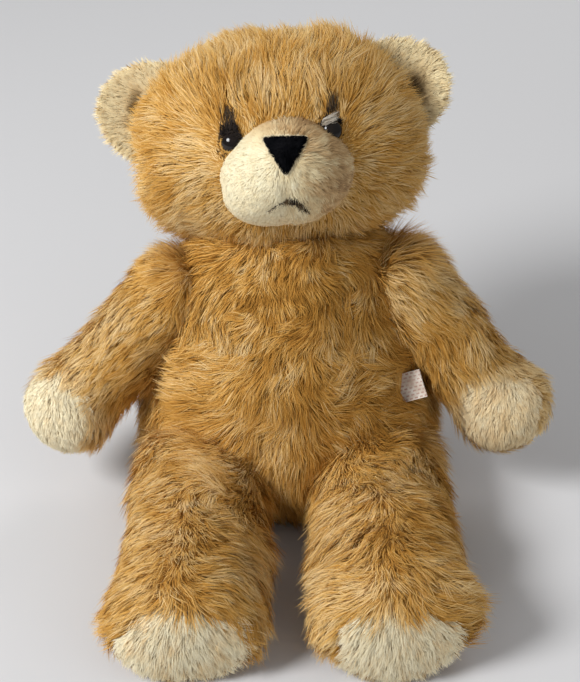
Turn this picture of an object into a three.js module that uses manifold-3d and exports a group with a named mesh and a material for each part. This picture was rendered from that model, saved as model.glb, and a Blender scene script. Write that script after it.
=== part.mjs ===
// Seated plush teddy bear with sewn-on limbs, in millimetres.
// +Z is up, the bear faces -Y, and the origin is the middle of the flat seat under the torso.
// Left and right are the bear's own: its left limbs are on +X.
// Each cover is a pile-fabric shell around its own wad of stuffing, open where it is sewn to the next piece.
import * as THREE from "three";
import { mergeVertices } from "three/addons/utils/BufferGeometryUtils.js";
import Module from "manifold-3d";

const wasm = await Module();
wasm.setup();

// Fabric and clearances
const PLUSH = 4; // pile fabric: backing cloth with the dense foot of the pile
const SHORT_PLUSH = 3; // the sheared pile fabric of the muzzle and the ear linings
const SEAM_GAP = 0.3; // between pieces that are sewn, seated or stuffed against each other

// Torso: a pear that slumps on its seat and leans back
const TORSO_HEIGHT = 206;
const TORSO_WIDTH = 212;
const TORSO_DEPTH = 172;
const SHOULDER_WIDTH = 142;
const SHOULDER_DROP = 41; // of the shoulders below the torso's top
const NECK_WIDTH = 102;
const NECK_DROP = 8;
const BELLY_HEIGHT = 48; // where the torso is widest
const SEAT_SQUASH = 26; // how much of the pear's round foot is pressed flat
const TORSO_LEAN = THREE.MathUtils.degToRad(8);

// Head: wider than it is tall, looking up
const HEAD_WIDTH = 188;
const HEAD_DEPTH = 154;
const HEAD_HEIGHT = 140;
const HEAD_SINK = 27; // how far the head presses into the torso's top
const HEAD_PITCH = THREE.MathUtils.degToRad(30);
const HEAD_ROLL = THREE.MathUtils.degToRad(-7);
const NECK_BORE = 64; // the opening in the head cover, inside the neck seam

// Face
const MUZZLE_WIDTH = 80;
const MUZZLE_HEIGHT = 62;
const MUZZLE_REACH = 30; // beyond the front of the head
const MUZZLE_DROP = 21; // below the middle of the head
const MUZZLE_DEPTH = 84;
const NOSE_WIDTH = 27;
const NOSE_HEIGHT = 23;
const NOSE_CORNER = 3;
const NOSE_EDGE = 11.5; // from the muzzle's upper edge down to the nose
const NOSE_TILT = THREE.MathUtils.degToRad(6); // about the muzzle's middle, against the head's roll
const NOSE_THICKNESS = 2.4;
const MOUTH_SPAN = 24;
const MOUTH_ARCH = 6;
const MOUTH_EDGE = 6; // from the muzzle's lower edge up to the mouth's ends
const THREAD_DIAMETER = 2.2;
const EYE_DIAMETER = 14;
const EYE_DOME = 5.5;
const EYE_SPACING = 64;
const EYE_RISE = 1; // above the middle of the head
const EYE_STEM_DIAMETER = 4.6;
const EYE_STEM_LENGTH = 13;
const WASHER_DIAMETER = 16;
const WASHER_THICKNESS = 1.6;

// Ears: two round panels each, sewn edge to edge and left unstuffed
const EAR_HEIGHT = 66;
const EAR_REACHES = { right: 36, left: 28 }; // beyond the side of the head
const EAR_DEPTH = 80; // from its hidden root to its rim
const EAR_CUP = 7; // how far the rim curls forward
const EAR_ANGLES = { right: THREE.MathUtils.degToRad(20), left: THREE.MathUtils.degToRad(18) }; // above level
const EAR_SETBACKS = { right: 6, left: -5 };

// Arms
const ARM_LENGTH = 172;
const SHOULDER_RADIUS = 33;
const WRIST_RADIUS = 27;
const PAW_RADIUS = 31;
const WRIST_SETBACK = 62; // from the paw's tip
const ARM_ROOT_DROPS = { right: 47, left: 37 }; // of each arm's root below the torso's top
const ARM_ROOT_INSET = 14; // of the arm's root from the shoulder's side
const PAW_PAD_SHARE = 0.81; // width of the paw pad over width of the paw
const RIGHT_ARM_REACH = new THREE.Vector3(-118, -56, -101); // the way each arm points
const LEFT_ARM_REACH = new THREE.Vector3(113, -62, -113);
const RIGHT_PAD_FACES = new THREE.Vector3(-0.4, -0.88, 0.2); // the way each paw pad faces
const LEFT_PAD_FACES = new THREE.Vector3(-0.28, -0.92, 0.25);

// Legs: they lie on the surface in front of the seat
const LEG_LENGTH = 204; // from the hip to the sole
const THIGH_RADIUS = 46;
const ANKLE_RADIUS = 43;
const FOOT_RADIUS = 47;
const FOOT_DEPTH = 37; // from the sole to the widest of the foot
const LEG_FLATNESS = 0.88; // height over width
const LEG_SQUASH = 6; // how much of the round underside is pressed flat
const HIP_SPACING = 118;
const HIP_SETBACK = -14; // of the hip behind the middle of the seat
const LEG_SPLAY = THREE.MathUtils.degToRad(2);
const SOLE_PAD_WIDE = 0.82; // the sole pad's width and height over the width of the foot
const SOLE_PAD_TALL = 0.52;

// Care label: a strip folded once and sewn into the torso's left side seam
const LABEL_WIDTH = 20;
const LABEL_REACH = 17;
const LABEL_SEWN_IN = 6;
const LABEL_LAYER = 0.5;
const LABEL_FOLD = 1.8; // outside height of the folded strip
const LABEL_HEIGHT = 93;
const LABEL_BEARING = THREE.MathUtils.degToRad(-31); // round the torso, from its left side to its front
const LABEL_TURN = THREE.MathUtils.degToRad(-11); // the way the label points, from straight sideways
const LABEL_LIFT = THREE.MathUtils.degToRad(-26); // of its end
const LABEL_LEAN = THREE.MathUtils.degToRad(-30); // back against the belly

// Mesh fineness
const ROUND_SIDES = 20;
const LIMB_SIDES = 14;
const PROFILE_STEPS = 11;
const SMALL_SIDES = 12;
const ARC_STEPS = 4;

const FAR = 600; // larger than the whole bear
const LEAST_RADIUS = 0.5; // of a turned profile off its axis
const SIDES = { right: -1, left: 1 };

const cloth = (color) => new THREE.MeshStandardMaterial({ color, roughness: 0.95, metalness: 0 });
const materials = {
  plush: cloth(0xb98a4e),
  cream: cloth(0xe0c899),
  muzzle: cloth(0xe6d2a6),
  earLining: cloth(0xc9ab78),
  stuffing: cloth(0xf1efe8),
  nose: cloth(0x0c0e11),
  thread: cloth(0x1c1815),
  label: cloth(0xe9dfd2),
  eye: new THREE.MeshStandardMaterial({ color: 0x120d0a, roughness: 0.12, metalness: 0 }),
  washer: new THREE.MeshStandardMaterial({ color: 0xd8d6cf, roughness: 0.5, metalness: 0 }),
};

// Solids: conversion between three.js geometry and closed solids

function solid(geometry, frame = new THREE.Matrix4()) {
  const bare = geometry.clone().applyMatrix4(frame);
  bare.deleteAttribute("normal");
  bare.deleteAttribute("uv");
  const merged = mergeVertices(bare, 1e-4);
  const corners = [...merged.index.array];
  const faces = [];
  for (let i = 0; i < corners.length; i += 3) {
    const [a, b, c] = corners.slice(i, i + 3);
    if (a !== b && b !== c && c !== a) faces.push([a, b, c]);
  }
  const build = (list) =>
    new wasm.Manifold(
      new wasm.Mesh({
        numProp: 3,
        vertProperties: merged.attributes.position.array,
        triVerts: new Uint32Array(list.flat()),
      }),
    );
  const made = build(faces);
  return made.volume() < 0 ? build(faces.map(([a, b, c]) => [a, c, b])) : made;
}

function geometryOf(made) {
  const { vertProperties, triVerts } = made.getMesh();
  const geometry = new THREE.BufferGeometry();
  geometry.setAttribute("position", new THREE.BufferAttribute(vertProperties, 3));
  geometry.setIndex(new THREE.BufferAttribute(triVerts, 1));
  geometry.computeVertexNormals();
  return geometry;
}

function addNode(group, name, made, material) {
  const mesh = new THREE.Mesh(geometryOf(made), material);
  mesh.name = name;
  group.add(mesh);
}

// Basic forms

function ellipsoid(width, depth, height, sides = ROUND_SIDES) {
  const ball = new THREE.SphereGeometry(1, sides, Math.round(sides * 0.6));
  return ball.rotateX(Math.PI / 2).scale(width / 2, depth / 2, height / 2);
}

// A body turned about +Z from points [radius, height], shrunk on all sides by inset.
function turned(points, inset, sides) {
  const curve = new THREE.SplineCurve(points.map(([r, z]) => new THREE.Vector2(r, z)));
  const outline = curve.getPoints(PROFILE_STEPS);
  const last = outline.length - 1;
  const profile = outline.map((p, i) => {
    const along = outline[Math.min(i + 1, last)].clone().sub(outline[Math.max(i - 1, 0)]).normalize();
    const outward = new THREE.Vector2(along.y, -along.x);
    if (i === 0) outward.set(0, -1);
    if (i === last) outward.set(0, 1);
    const moved = p.clone().addScaledVector(outward, -inset);
    return new THREE.Vector2(i === 0 || i === last ? 0 : Math.max(moved.x, LEAST_RADIUS), moved.y);
  });
  return new THREE.LatheGeometry(profile, sides).rotateX(Math.PI / 2);
}

// A long oval rod from the origin along +Z, for boring holes and cutting pads.
function rod(wide, tall, sides) {
  const pole = new THREE.CylinderGeometry(1, 1, FAR, sides).rotateX(Math.PI / 2);
  return pole.scale(wide, tall, 1).translate(0, 0, FAR / 2);
}

// Everything below a level, for pressing a soft underside flat.
function below(level, frame) {
  return solid(new THREE.BoxGeometry(FAR, FAR, FAR).translate(0, 0, level - FAR / 2), frame);
}

function frameAt(position, facing) {
  const up = new THREE.Vector3(0, 0, 1);
  const turn = new THREE.Quaternion().setFromUnitVectors(up, facing.clone().normalize());
  return new THREE.Matrix4().makeRotationFromQuaternion(turn).setPosition(position);
}

// Torso

function torsoForm(inset) {
  const foot = -SEAT_SQUASH;
  const shoulders = TORSO_HEIGHT - SHOULDER_DROP;
  const pear = turned(
    [
      [0, foot],
      [TORSO_WIDTH * 0.3, foot + SEAT_SQUASH * 0.25],
      [TORSO_WIDTH * 0.46, BELLY_HEIGHT * 0.3],
      [TORSO_WIDTH / 2, BELLY_HEIGHT],
      [(TORSO_WIDTH + SHOULDER_WIDTH) / 4, (BELLY_HEIGHT + shoulders) * 0.58],
      [SHOULDER_WIDTH / 2, shoulders],
      [NECK_WIDTH / 2, TORSO_HEIGHT - NECK_DROP],
      [0, TORSO_HEIGHT],
    ],
    inset,
    ROUND_SIDES,
  );
  const leaned = new THREE.Matrix4().makeRotationX(-TORSO_LEAN);
  return pear.scale(1, TORSO_DEPTH / TORSO_WIDTH, 1).applyMatrix4(leaned);
}

const torsoTop = new THREE.Vector3(0, Math.sin(TORSO_LEAN), Math.cos(TORSO_LEAN)).multiplyScalar(TORSO_HEIGHT);

// Head: its own frame has its origin in the middle of the head, with the face towards -Y

const bear = new THREE.Group();
const head = new THREE.Group();
const headLift = HEAD_HEIGHT / 2 - HEAD_SINK;
head.rotation.set(-HEAD_PITCH, HEAD_ROLL, 0, "XYZ");
head.position.set(0, 0, headLift).applyEuler(head.rotation).add(torsoTop);
bear.add(head);
bear.updateMatrixWorld(true);
const headInBear = head.matrixWorld.clone();
const bearInHead = headInBear.clone().invert();

const headForm = (inset) => ellipsoid(HEAD_WIDTH - 2 * inset, HEAD_DEPTH - 2 * inset, HEAD_HEIGHT - 2 * inset);

const muzzleMiddle = new THREE.Vector3(0, MUZZLE_DEPTH / 2 - HEAD_DEPTH / 2 - MUZZLE_REACH, -MUZZLE_DROP);
const muzzleForm = (inset) =>
  ellipsoid(MUZZLE_WIDTH - 2 * inset, MUZZLE_DEPTH - 2 * inset, MUZZLE_HEIGHT - 2 * inset).translate(
    ...muzzleMiddle.toArray(),
  );

// The muzzle's front surface at a place given from the muzzle's middle, lifted outwards by lift.
function onMuzzle(x, z, lift) {
  const [a, b, c] = [MUZZLE_WIDTH / 2, MUZZLE_DEPTH / 2, MUZZLE_HEIGHT / 2];
  const y = -b * Math.sqrt(1 - (x / a) ** 2 - (z / c) ** 2);
  const outward = new THREE.Vector3(x / a ** 2, y / b ** 2, z / c ** 2).normalize();
  return new THREE.Vector3(x, y, z).add(muzzleMiddle).addScaledVector(outward, lift);
}

// A safety eye turned about +Z: a dome on a stem, with the stem pointing down, grown by clearance.
function eyeForm(clearance) {
  const radius = EYE_DIAMETER / 2 + clearance;
  const stem = EYE_STEM_DIAMETER / 2 + clearance;
  const arc = new THREE.EllipseCurve(0, SEAM_GAP, radius, EYE_DOME + clearance, 0, Math.PI / 2);
  const dome = arc.getPoints(ARC_STEPS);
  dome[ARC_STEPS].x = 0;
  const profile = [
    new THREE.Vector2(0, -EYE_STEM_LENGTH - clearance),
    new THREE.Vector2(stem, -EYE_STEM_LENGTH - clearance),
    new THREE.Vector2(stem, SEAM_GAP - clearance),
    ...dome,
  ];
  if (clearance > 0) profile.splice(3, 0, new THREE.Vector2(radius, SEAM_GAP - clearance));
  return new THREE.LatheGeometry(profile, SMALL_SIDES).rotateX(Math.PI / 2);
}

// The washer that locks an eye's stem inside the cover, turned about the same axis.
function washerForm(clearance) {
  const inner = EYE_STEM_DIAMETER / 2 + SEAM_GAP - clearance;
  const outer = WASHER_DIAMETER / 2 + clearance;
  const top = -PLUSH - SEAM_GAP + clearance;
  const bottom = top - WASHER_THICKNESS - 2 * clearance;
  const corners = [
    [inner, bottom],
    [outer, bottom],
    [outer, top],
    [inner, top],
    [inner, bottom],
  ];
  const ring = corners.map(([r, z]) => new THREE.Vector2(r, z));
  return new THREE.LatheGeometry(ring, SMALL_SIDES).rotateX(Math.PI / 2);
}

function eyeFrame(side) {
  const [a, b, c] = [HEAD_WIDTH / 2, HEAD_DEPTH / 2, HEAD_HEIGHT / 2];
  const x = (side * EYE_SPACING) / 2;
  const y = -b * Math.sqrt(1 - (x / a) ** 2 - (EYE_RISE / c) ** 2);
  const outward = new THREE.Vector3(x / a ** 2, y / b ** 2, EYE_RISE / c ** 2);
  return frameAt(new THREE.Vector3(x, y, EYE_RISE), outward);
}

function buildHead() {
  const outer = solid(headForm(0));
  const inner = solid(headForm(PLUSH));
  const muzzleHole = solid(muzzleForm(SHORT_PLUSH));
  const muzzleFill = solid(muzzleForm(SHORT_PLUSH + SEAM_GAP));
  const bore = rod(NECK_BORE / 2, NECK_BORE / 2, ROUND_SIDES);
  const neck = solid(bore.translate(torsoTop.x, torsoTop.y, torsoTop.z - FAR), bearInHead);
  let cover = outer.subtract(inner).subtract(muzzleHole).subtract(neck);
  let muzzle = solid(muzzleForm(0)).subtract(muzzleHole).subtract(solid(headForm(-SEAM_GAP)));
  let stuffing = solid(headForm(PLUSH + SEAM_GAP)).add(muzzleFill);

  for (const [name, side] of Object.entries(SIDES)) {
    const place = eyeFrame(side);
    cover = cover.subtract(solid(eyeForm(SEAM_GAP), place));
    muzzle = muzzle.subtract(solid(eyeForm(SEAM_GAP), place));
    stuffing = stuffing.subtract(solid(eyeForm(SEAM_GAP), place)).subtract(solid(washerForm(SEAM_GAP), place));
    addNode(head, `${name}_eye`, solid(eyeForm(0), place), materials.eye);
    const washer = solid(washerForm(0), place).intersect(solid(headForm(PLUSH + SEAM_GAP)));
    addNode(head, `${name}_eye_washer`, washer, materials.washer);
    buildEar(name, side);
  }
  addNode(head, "head_cover", cover, materials.plush);
  addNode(head, "muzzle_cover", muzzle, materials.muzzle);
  addNode(head, "head_stuffing", stuffing, materials.stuffing);
  addNode(head, "nose_patch", nosePatch(), materials.nose);
  addNode(head, "mouth_stitch", mouthStitch(), materials.thread);
}

// A rounded triangle, point down, that follows the muzzle's curve.
function nosePatch() {
  const shape = new THREE.Shape();
  const half = NOSE_WIDTH / 2;
  const top = MUZZLE_HEIGHT / 2 - NOSE_EDGE;
  const tip = top - NOSE_HEIGHT;
  const slope = NOSE_CORNER / Math.hypot(half, NOSE_HEIGHT);
  shape.moveTo(-half + NOSE_CORNER, top);
  shape.lineTo(half - NOSE_CORNER, top);
  shape.quadraticCurveTo(half, top, half - half * slope, top - NOSE_HEIGHT * slope);
  shape.lineTo(half * slope, tip + NOSE_HEIGHT * slope);
  shape.quadraticCurveTo(0, tip, -half * slope, tip + NOSE_HEIGHT * slope);
  shape.lineTo(-half + half * slope, top - NOSE_HEIGHT * slope);
  shape.quadraticCurveTo(-half, top, -half + NOSE_CORNER, top);
  const prism = new THREE.ExtrudeGeometry(shape, {
    depth: FAR,
    bevelEnabled: false,
    curveSegments: ARC_STEPS,
  });
  prism.rotateX(Math.PI / 2).rotateY(NOSE_TILT).translate(...muzzleMiddle.toArray());
  return solid(prism)
    .intersect(solid(muzzleForm(-NOSE_THICKNESS)))
    .subtract(solid(muzzleForm(-SEAM_GAP)));
}

// A thread that arches over the muzzle's lower front.
function mouthStitch() {
  const lift = THREAD_DIAMETER / 2 + SEAM_GAP;
  const ends = MOUTH_EDGE - MUZZLE_HEIGHT / 2;
  const places = [-1, -0.6, -0.2, 0.2, 0.6, 1].map((share) =>
    onMuzzle((share * MOUTH_SPAN) / 2, ends + MOUTH_ARCH * (1 - share ** 2), lift),
  );
  const section = new THREE.Shape().absarc(0, 0, THREAD_DIAMETER / 2, 0, 2 * Math.PI);
  const tube = new THREE.ExtrudeGeometry(section, {
    steps: 2 * SMALL_SIDES,
    curveSegments: ARC_STEPS,
    extrudePath: new THREE.CatmullRomCurve3(places),
  });
  return solid(tube).subtract(solid(muzzleForm(-SEAM_GAP)));
}

// One ear: a cupped lining panel in front of a plush panel, both cut where they meet the head.
function buildEar(name, side) {
  const angle = EAR_ANGLES[name];
  const bowl = (EAR_HEIGHT / 2) ** 2 / (2 * EAR_CUP) + EAR_CUP / 2; // radius of the cup
  const sphere = (radius) => new THREE.SphereGeometry(radius, ROUND_SIDES, ROUND_SIDES);
  const ball = (radius) => solid(sphere(radius).translate(0, -bowl, 0));
  const outline = new THREE.CylinderGeometry(1, 1, 2 * bowl, ROUND_SIDES);
  const round = solid(outline.scale(EAR_DEPTH / 2, 1, EAR_HEIGHT / 2));
  const sheet = (near, far) => geometryOf(ball(bowl + far).subtract(ball(bowl + near)).intersect(round));
  const rim = 1 / Math.hypot(Math.cos(angle) / (HEAD_WIDTH / 2), Math.sin(angle) / (HEAD_HEIGHT / 2));
  const middle = rim + EAR_REACHES[name] - EAR_DEPTH / 2;
  const place = new THREE.Matrix4()
    .makeRotationY(side > 0 ? -angle : angle - Math.PI)
    .setPosition(side * middle * Math.cos(angle), EAR_SETBACKS[name], middle * Math.sin(angle));
  const half = SEAM_GAP / 2;
  const headSolid = solid(headForm(-SEAM_GAP));
  const lining = solid(sheet(-half - SHORT_PLUSH, -half), place).subtract(headSolid);
  const back = solid(sheet(half, half + PLUSH), place).subtract(headSolid);
  addNode(head, `${name}_ear_lining`, lining, materials.earLining);
  addNode(head, `${name}_ear_back`, back, materials.plush);
}

// Arms: each has a frame at its root inside the shoulder, with +Z along the arm

const pawMiddle = ARM_LENGTH - PAW_RADIUS;

function armForm(inset) {
  const wrist = ARM_LENGTH - WRIST_SETBACK;
  return turned(
    [
      [0, 0],
      [SHOULDER_RADIUS * 0.8, SHOULDER_RADIUS * 0.3],
      [SHOULDER_RADIUS, SHOULDER_RADIUS],
      [(SHOULDER_RADIUS + WRIST_RADIUS) / 2, (SHOULDER_RADIUS + wrist) / 2],
      [WRIST_RADIUS, wrist],
      [PAW_RADIUS, pawMiddle],
      [PAW_RADIUS * 0.72, ARM_LENGTH - PAW_RADIUS * 0.26],
      [0, ARM_LENGTH],
    ],
    inset,
    LIMB_SIDES,
  );
}

function buildArm(name, side, reach, padFaces) {
  const height = TORSO_HEIGHT - ARM_ROOT_DROPS[name];
  const across = side * (SHOULDER_WIDTH / 2 - ARM_ROOT_INSET);
  const root = new THREE.Vector3(across, height * Math.tan(TORSO_LEAN), height);
  const arm = new THREE.Group();
  frameAt(root, reach).decompose(arm.position, arm.quaternion, arm.scale);
  bear.add(arm);
  arm.updateMatrixWorld(true);
  const bearInArm = arm.matrixWorld.clone().invert();
  const neighbours = solid(torsoForm(-SEAM_GAP), bearInArm).add(
    solid(headForm(-SEAM_GAP), bearInArm.clone().multiply(headInBear)),
  );
  const shell = solid(armForm(0)).subtract(solid(armForm(PLUSH))).subtract(neighbours);
  const stuffing = solid(armForm(PLUSH + SEAM_GAP)).subtract(neighbours);
  const padWay = padFaces.clone().transformDirection(bearInArm);
  const padRadius = PAW_RADIUS * PAW_PAD_SHARE;
  const padRim = Math.sqrt(PAW_RADIUS ** 2 - padRadius ** 2) - PLUSH; // how far in front of the paw's middle
  const cutter = (clearance) => {
    const pole = rod(padRadius + clearance, padRadius + clearance, LIMB_SIDES);
    return solid(pole.translate(0, 0, padRim - clearance), frameAt(new THREE.Vector3(0, 0, pawMiddle), padWay));
  };
  addNode(arm, `${name}_arm_cover`, shell.subtract(cutter(SEAM_GAP)), materials.plush);
  addNode(arm, `${name}_paw_pad`, shell.intersect(cutter(0)), materials.cream);
  addNode(arm, `${name}_arm_stuffing`, stuffing, materials.stuffing);
}

// Legs: each has a frame at its hip with +Z along the leg, which lies level on the surface

function legForm(inset) {
  const turnedLeg = turned(
    [
      [0, -THIGH_RADIUS * 0.7],
      [THIGH_RADIUS * 0.8, -THIGH_RADIUS * 0.35],
      [THIGH_RADIUS, THIGH_RADIUS * 0.4],
      [ANKLE_RADIUS, LEG_LENGTH / 2],
      [FOOT_RADIUS, LEG_LENGTH - FOOT_DEPTH],
      [FOOT_RADIUS * 0.9, LEG_LENGTH - FOOT_RADIUS * 0.18],
      [FOOT_RADIUS * 0.5, LEG_LENGTH - FOOT_RADIUS * 0.03],
      [0, LEG_LENGTH],
    ],
    inset,
    LIMB_SIDES,
  );
  return turnedLeg.scale(1, LEG_FLATNESS, 1);
}

function buildLeg(name, side) {
  const axisHeight = ANKLE_RADIUS * LEG_FLATNESS - LEG_SQUASH;
  const leg = new THREE.Group();
  leg.position.set((side * HIP_SPACING) / 2, HIP_SETBACK, axisHeight);
  leg.rotation.set(Math.PI / 2, 0, side * LEG_SPLAY, "ZXY");
  bear.add(leg);
  leg.updateMatrixWorld(true);
  const bearInLeg = leg.matrixWorld.clone().invert();
  const flatten = (made, level) => made.subtract(below(level, bearInLeg));
  const torso = solid(torsoForm(-SEAM_GAP), bearInLeg);
  const outer = flatten(solid(legForm(0)), 0);
  const inner = flatten(solid(legForm(PLUSH)), PLUSH);
  const shell = outer.subtract(inner).subtract(torso);
  const stuffing = flatten(solid(legForm(PLUSH + SEAM_GAP)), PLUSH + SEAM_GAP).subtract(torso);
  const cutter = (clearance) => {
    const [wide, tall] = [FOOT_RADIUS * SOLE_PAD_WIDE, FOOT_RADIUS * SOLE_PAD_TALL];
    const pole = rod(wide + clearance, tall + clearance, LIMB_SIDES);
    return solid(pole.translate(0, 0, LEG_LENGTH - FOOT_DEPTH));
  };
  addNode(leg, `${name}_leg_cover`, shell.subtract(cutter(SEAM_GAP)), materials.plush);
  addNode(leg, `${name}_sole_pad`, shell.intersect(cutter(0)), materials.cream);
  addNode(leg, `${name}_leg_stuffing`, stuffing, materials.stuffing);
}

// Torso cover, its stuffing, and the label in its side seam

function buildTorso() {
  const headSolid = solid(headForm(-SEAM_GAP), headInBear);
  const outer = solid(torsoForm(0)).subtract(below(0));
  const inner = solid(torsoForm(PLUSH)).subtract(below(PLUSH));
  const stuffing = solid(torsoForm(PLUSH + SEAM_GAP)).subtract(below(PLUSH + SEAM_GAP));
  addNode(bear, "torso_cover", outer.subtract(inner).subtract(headSolid), materials.plush);
  addNode(bear, "torso_stuffing", stuffing.subtract(headSolid), materials.stuffing);
}

function buildLabel() {
  const middle = new THREE.Vector3(0, LABEL_HEIGHT * Math.tan(TORSO_LEAN), LABEL_HEIGHT);
  const outward = new THREE.Vector3(Math.cos(LABEL_BEARING), Math.sin(LABEL_BEARING), 0);
  const torso = new THREE.Mesh(torsoForm(0), new THREE.MeshBasicMaterial({ side: THREE.DoubleSide }));
  const fromOutside = middle.clone().addScaledVector(outward, FAR);
  const [seam] = new THREE.Raycaster(fromOutside, outward.clone().negate()).intersectObject(torso);
  const fold = LABEL_FOLD / 2;
  const strip = new THREE.Shape();
  strip.moveTo(-LABEL_SEWN_IN, -fold);
  strip.lineTo(LABEL_REACH - fold, -fold);
  strip.absarc(LABEL_REACH - fold, 0, fold, -Math.PI / 2, Math.PI / 2);
  strip.lineTo(-LABEL_SEWN_IN, fold);
  strip.lineTo(-LABEL_SEWN_IN, fold - LABEL_LAYER);
  strip.lineTo(LABEL_REACH - fold, fold - LABEL_LAYER);
  strip.absarc(LABEL_REACH - fold, 0, fold - LABEL_LAYER, Math.PI / 2, -Math.PI / 2, true);
  strip.lineTo(-LABEL_SEWN_IN, LABEL_LAYER - fold);
  strip.closePath();
  const folded = new THREE.ExtrudeGeometry(strip, {
    depth: LABEL_WIDTH,
    bevelEnabled: false,
    curveSegments: ARC_STEPS,
  }).translate(0, 0, -LABEL_WIDTH / 2);
  const label = new THREE.Group();
  label.position.copy(seam.point);
  label.rotation.set(LABEL_LEAN, LABEL_LIFT, LABEL_TURN, "ZYX");
  bear.add(label);
  label.updateMatrixWorld(true);
  const torsoInLabel = label.matrixWorld.clone().invert();
  const made = solid(folded).subtract(solid(torsoForm(-SEAM_GAP), torsoInLabel));
  addNode(label, "care_label", made, materials.label);
}

buildTorso();
buildHead();
buildArm("right", SIDES.right, RIGHT_ARM_REACH, RIGHT_PAD_FACES);
buildArm("left", SIDES.left, LEFT_ARM_REACH, LEFT_PAD_FACES);
for (const [name, side] of Object.entries(SIDES)) buildLeg(name, side);
buildLabel();

export default bear;
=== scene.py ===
"""A worn, seated plush bear: soft skins over the CAD solids, mesh pile, a bare face, and a plain studio."""
import math
from collections import namedtuple

import bmesh
import bpy
import numpy as np
from mathutils import Matrix, Vector
from mathutils.bvhtree import BVHTree
from mathutils.kdtree import KDTree


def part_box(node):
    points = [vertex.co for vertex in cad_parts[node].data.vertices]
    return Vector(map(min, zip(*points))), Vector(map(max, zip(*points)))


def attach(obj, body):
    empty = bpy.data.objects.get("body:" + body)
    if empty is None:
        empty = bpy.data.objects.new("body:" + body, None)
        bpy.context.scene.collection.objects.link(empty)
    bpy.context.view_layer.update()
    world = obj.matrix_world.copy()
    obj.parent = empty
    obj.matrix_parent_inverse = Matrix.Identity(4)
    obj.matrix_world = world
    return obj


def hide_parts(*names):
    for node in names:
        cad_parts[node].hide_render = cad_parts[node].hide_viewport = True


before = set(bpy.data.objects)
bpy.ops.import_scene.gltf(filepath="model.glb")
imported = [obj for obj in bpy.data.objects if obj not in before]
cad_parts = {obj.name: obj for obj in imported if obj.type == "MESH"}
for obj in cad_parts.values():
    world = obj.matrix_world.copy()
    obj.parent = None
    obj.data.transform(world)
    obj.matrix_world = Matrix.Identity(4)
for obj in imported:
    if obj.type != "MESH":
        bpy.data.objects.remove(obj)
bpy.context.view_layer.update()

# Photograph and camera: the camera looks down at the bear's middle
PHOTO_WIDTH = 580
PHOTO_HEIGHT = 682
PHOTO_FOCAL = 1400  # focal length in pixels
CAMERA_ELEVATION = math.radians(35)
CAMERA_DISTANCE = 1.0
CAMERA_TARGET = np.array([0, 0, 0.110])
SENSOR = 36

# Sizes from the CAD model, in metres
PLUSH = 0.0043  # from the stuffing to the outside of the plush
HEAD_SEMI = np.array([0.094, 0.077, 0.070])
HEAD_MIDDLE = np.array([-0.00524, 0.05001, 0.24096])
HEAD_PITCH = math.radians(-30)
HEAD_ROLL = math.radians(-7)
MUZZLE_SEMI = np.array([0.040, 0.042, 0.031])
MUZZLE_MIDDLE = np.array([0, -0.065, -0.021])
EYE_RADIUS = 0.007
EYE_DOME = 0.0055
EYE_STEM_RADIUS = 0.0023
EYE_STEM_LENGTH = 0.013
EYE_ACROSS = 0.032
EYE_RISE = 0.001
EYE_AHEAD = 0.0724  # of the head's middle
EYE_CLEAR = 0.0008  # from the eye to the long pile
PAW_RADIUS = 0.031
PAD_SHARE = 0.92
ARM_LENGTH = 0.172
ARM_ROOTS = {"right": np.array([-0.057, 0.02235, 0.159]), "left": np.array([0.057, 0.02375, 0.169])}
ARM_REACH = {"right": np.array([-118, -56, -101]), "left": np.array([113, -62, -113])}
PAD_FACES = {"right": np.array([-0.4, -0.88, 0.2]), "left": np.array([-0.28, -0.92, 0.25])}
LEG_AXIS_HEIGHT = 0.0318
LEG_ACROSS = 0.059
SOLE_ACROSS = 0.0658
FOOT_RADIUS = 0.047
SOLE_WIDE = 0.82
SOLE_TALL = 0.60
SOLE_START = -0.181  # the sole pad lies in front of this
SOLE_ASIDE = 0.002  # how far the sole's edge has slid outwards
SOLE_WORN = 0.96  # how much of the sole's width is left
LABEL_WIDTH = 0.020
LABEL_REACH = 0.017
LABEL_SEWN_IN = 0.0025
LABEL_HALF_FOLD = 0.0007
SIDES = {"right": -1, "left": 1}

# Soft forms
VOXEL = 0.005
EAR_VOXEL = 0.0016
NOSE_VOXEL = 0.0009
CLOTH_STEPS = 20
CLOTH_QUALITY = 5
CLOTH_MASS = 0.3
CLOTH_PRESSURE = 4
SWELL = 0.003  # how far the cloth swells in the middle
SWELL_SPREAD = 0.002  # how far the cloth may differ from that
TOP_LIMIT = 0.330
BACK_LIMIT = 0.143
LUMP = 0.0022  # height of the stuffing's lumps
LUMP_SPACING = 0.055
SKIN_SINK = 0.001  # how far a hollow between lumps may sink towards the fill
SEAM_NEAR = 0.003
BURIED = 0.001  # what lies deeper than this in a neighbour is covered
FLOOR_GAP = 0.0006

SEED = 1906
chance = np.random.default_rng(SEED)


# Small helpers


def unit(vectors):
    return vectors / np.maximum(np.linalg.norm(vectors, axis=-1, keepdims=True), 1e-9)


def dot(a, b):
    return np.sum(a * b, axis=-1)


def lengths(vectors):
    return np.linalg.norm(vectors, axis=1)


def swung(first, second, angle):
    """Vectors swung by an angle from the first towards the second."""
    return first * np.cos(angle)[:, None] + second * np.sin(angle)[:, None]


def along_skin(ways, normals):
    return unit(ways - dot(ways, normals)[:, None] * normals)


def fade(distance, reach):
    """1 at no distance, and less with more of it."""
    return np.exp(-((distance / reach) ** 2))


def ease(value, low, high):
    """0 below low, 1 above high, smooth between."""
    share = np.clip((value - low) / (high - low), 0, 1)
    return share * share * (3 - 2 * share)


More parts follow.
